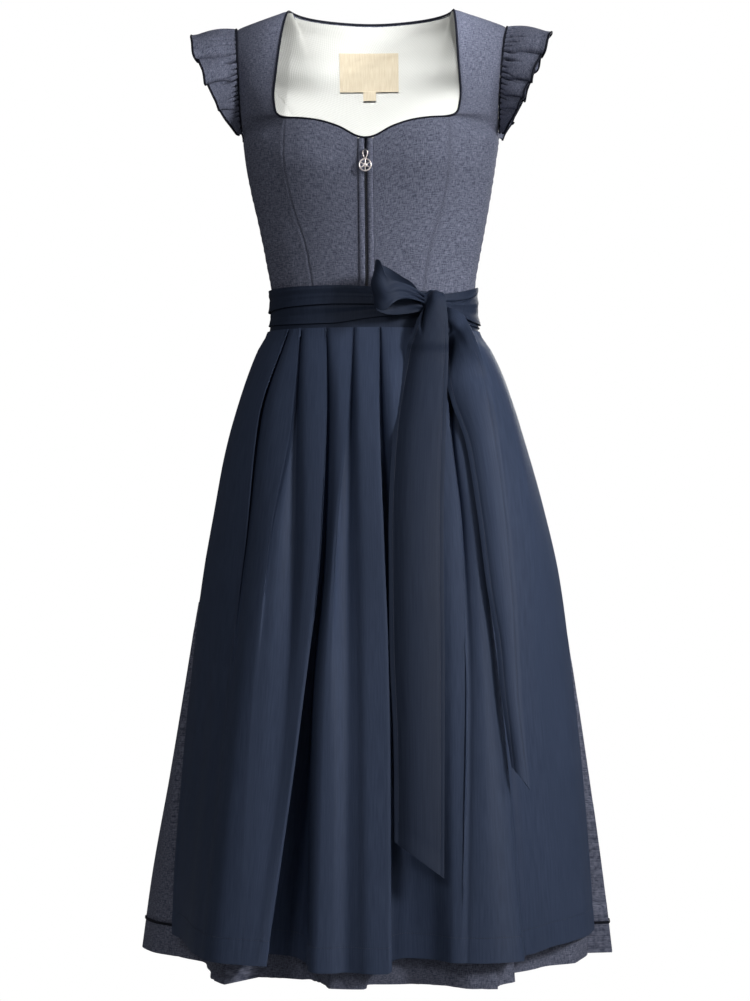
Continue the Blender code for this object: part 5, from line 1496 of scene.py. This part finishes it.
def build_pull():
    """The pull: a wire loop and a round open charm with plain spokes."""
    centre = HINGE - Vector((0, 0, CHARM_DROP))
    placed = {"location": centre, "rotation": (math.radians(90), 0, 0)}
    pieces = [made("torus", major_segments=56, minor_segments=14, major_radius=CHARM_RADIUS,
                   minor_radius=CHARM_WIRE, **placed),
              made("torus", major_segments=32, minor_segments=10, major_radius=BOSS_RADIUS + 0.0002,
                   minor_radius=0.0005, **placed),
              made("uv_sphere", segments=24, ring_count=12, radius=BOSS_RADIUS * 0.9, location=centre)]
    pieces[-1].scale = (1, 0.45, 1)
    for k in range(6):
        angle = math.radians(30 + 60 * k)
        heading = Vector((math.cos(angle), 0, math.sin(angle)))
        middle = centre + heading * (CHARM_RADIUS + BOSS_RADIUS) / 2
        pieces.append(made("cone", vertices=12, radius1=0.00075, radius2=0.00045, location=middle,
                           depth=CHARM_RADIUS - BOSS_RADIUS,
                           rotation=heading.to_track_quat("Z", "Y").to_euler()))
    for piece in pieces:
        active(piece)
        bpy.ops.object.transform_apply(location=True, rotation=True, scale=True)
    pieces.append(tube("pull_wire", wire_route(), CROSSBAR, SILVER, closed=True, body="pull", sides=3))
    pieces[-1].parent = None
    clear_selection()
    for piece in pieces:
        piece.select_set(True)
    pull = bpy.context.view_layer.objects.active = pieces[0]
    bpy.ops.object.join()
    pull.name = pull.data.name = "pull_charm"
    smoothed(45)
    dressed(pull, SILVER, ["zip_pull"], "pull")


def build_slider():
    """The slider keeps its solid, with softened edges."""
    slider = linked("slider_zip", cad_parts["zip_slider"].data.copy())
    edited(slider, merge, partial(bpy.ops.mesh.dissolve_limited, angle_limit=math.radians(2)))
    edge = slider.modifiers.new("edge", "BEVEL")
    edge.width = 0.0003
    edge.segments = 2
    edge.limit_method = "ANGLE"
    bpy.ops.object.modifier_apply(modifier="edge")
    smoothed(35)
    # The slider's dark colour is a painted dark reflection on silver.
    dressed(slider, SILVER_PAINTED_DARK, ["zip_slider"])


# Label and its size tab on the back lining: middle x, top, width, height, columns, rows and lift
LABELS = {"label": (-0.0070, -0.0372, 0.0728, 0.0464, 28, 18, 0.0009),
          "size_tab": (-0.0065, -0.0822, 0.0158, 0.0120, 10, 6, 0.0019)}


def build_label():
    """The label and its size tab, laid on the lining's inner face, and the label's stitches."""
    grid = inset(finer(centre_back(), 10, (), 16), BODICE_CLOTH + PLY + 0.0008)
    lining = [p for row in grid for p in row]
    near = (-1, 0, 1)
    for name, (middle, top, width, height, columns, rows, lift) in LABELS.items():
        patch = []
        for i in range(rows + 1):
            z = top - height * (1 - i / rows)
            row = []
            for j in range(columns + 1):
                u = j / columns
                x = middle + width * (0.5 - u)
                depth = min(lining, key=lambda p: (p.x - x) ** 2 + (p.z - z) ** 2).y
                wavy = lift + 0.0004 * math.sin(math.pi * u) + 0.0002 * math.sin(TAU * 2.3 * u + i)
                row.append(Vector((x, depth - wavy, z)))
            patch.append(row)
        smooth = [[p.copy() for p in row] for row in patch]
        for i, row in enumerate(smooth):
            for j, p in enumerate(row):
                around = [patch[min(max(i + a, 0), rows)][min(max(j + b, 0), columns)]
                          for a in near for b in near]
                p.y = (sum(around, Vector()) / 9).y
        cloth("ribbon_" + name, smooth, RIBBON, CREAM, name, "cloth_lining_back")
        if name == "label":
            inner = [(row[1:-1], [-n for n in line[1:-1]])
                     for row, line in list(zip(smooth, grid_normals(smooth)))[1:-1]]
            sides = [([row[k] for row, _ in inner], [line[k] for _, line in inner]) for k in (0, -1)]
            stitches("stitches_label", [inner[0], inner[-1], *sides], CREAM_THREAD, step=0.0024,
                     length=0.0015, radius=0.0003)


for build in (build_bodice, build_lining, build_neck_piping, build_ruffles, build_skirt, build_apron,
              build_sash, build_bow, build_placket, build_zip, build_pull, build_slider, build_label):
    build()

# Floor, light and camera
floor = made("cylinder", vertices=128, radius=1.95, depth=0.02, location=(0, 0, -1.61))
floor.name = "floor"
floor.data.materials.append(FLOOR)


def aimed(name, data, place, aim):
    item = linked(name, data)
    item.location = place
    item.rotation_euler = (Vector(aim) - Vector(place)).to_track_quat("-Z", "Y").to_euler()
    return item


def light(name, kind, place, aim, energy, **settings):
    data = bpy.data.lights.new(name, kind)
    data.energy = energy
    for key, value in settings.items():
        setattr(data, key, value)
    aimed(name, data, place, aim)


for name, place, aim, size, power, spread in (
        ("key_light", (2.3, -2.1, 0.6), (0, 0, -0.30), 0.7, 11, 70),
        ("high_light", (-1.0, -3.0, 1.2), (0, 0, -0.3), 0.8, 2.4, 60),
        ("low_light", (1.8, -2.8, -0.2), (0, 0, -0.8), 1.0, 0.9, 60),
        ("right_light", (2.9, -0.9, 0.5), (0.1, 0, -0.25), 0.6, 2.2, 50),
        ("left_light", (-2.8, -1.2, 0.4), (0, 0, -0.2), 1.0, 1.0, 180),
        ("top_light", (0.0, -0.2, 1.6), (0, 0.02, -0.2), 0.8, 3, 180),
        ("back_light", (0.6, 3.2, 0.6), (0, 0, -0.5), 1.8, 60, 180)):
    light(name, "AREA", place, aim, power, shape="DISK", size=size, spread=math.radians(spread))
light("lining_light", "SPOT", (0.04, -1.5, 1.0), (0.02, 0.09, -0.085), 235, spot_size=math.radians(10),
      spot_blend=1.0, shadow_soft_size=0.05)

# The camera sees pure white behind the dress, and the dress is lit by a dim sky
world = bpy.context.scene.world = bpy.data.worlds.new("studio")
world.use_nodes = True
nodes = world.node_tree.nodes
nodes.clear()
either = nodes.new("ShaderNodeMixShader")
end = nodes.new("ShaderNodeOutputWorld")
links = [(nodes.new("ShaderNodeLightPath").outputs["Is Camera Ray"], either.inputs[0]),
         (either.outputs[0], end.inputs["Surface"])]
for socket, colour, strength in ((1, (0.95, 0.97, 1.0, 1), 0.05), (2, (1, 1, 1, 1), 1.0)):
    sky = nodes.new("ShaderNodeBackground")
    sky.inputs["Color"].default_value = colour
    sky.inputs["Strength"].default_value = strength
    links.append((sky.outputs[0], either.inputs[socket]))
for source, target in links:
    world.node_tree.links.new(source, target)
bpy.context.scene.view_settings.view_transform = "Standard"
bpy.context.scene.view_settings.look = "None"

lens = bpy.data.cameras.new("camera")
lens.sensor_fit = "VERTICAL"
lens.sensor_height = 36
lens.lens = 89.9
lens.clip_end = 100
bpy.context.scene.camera = aimed("camera", lens, (0.1617, -3.0, -0.589), (0.0048, 0.0, -0.589))
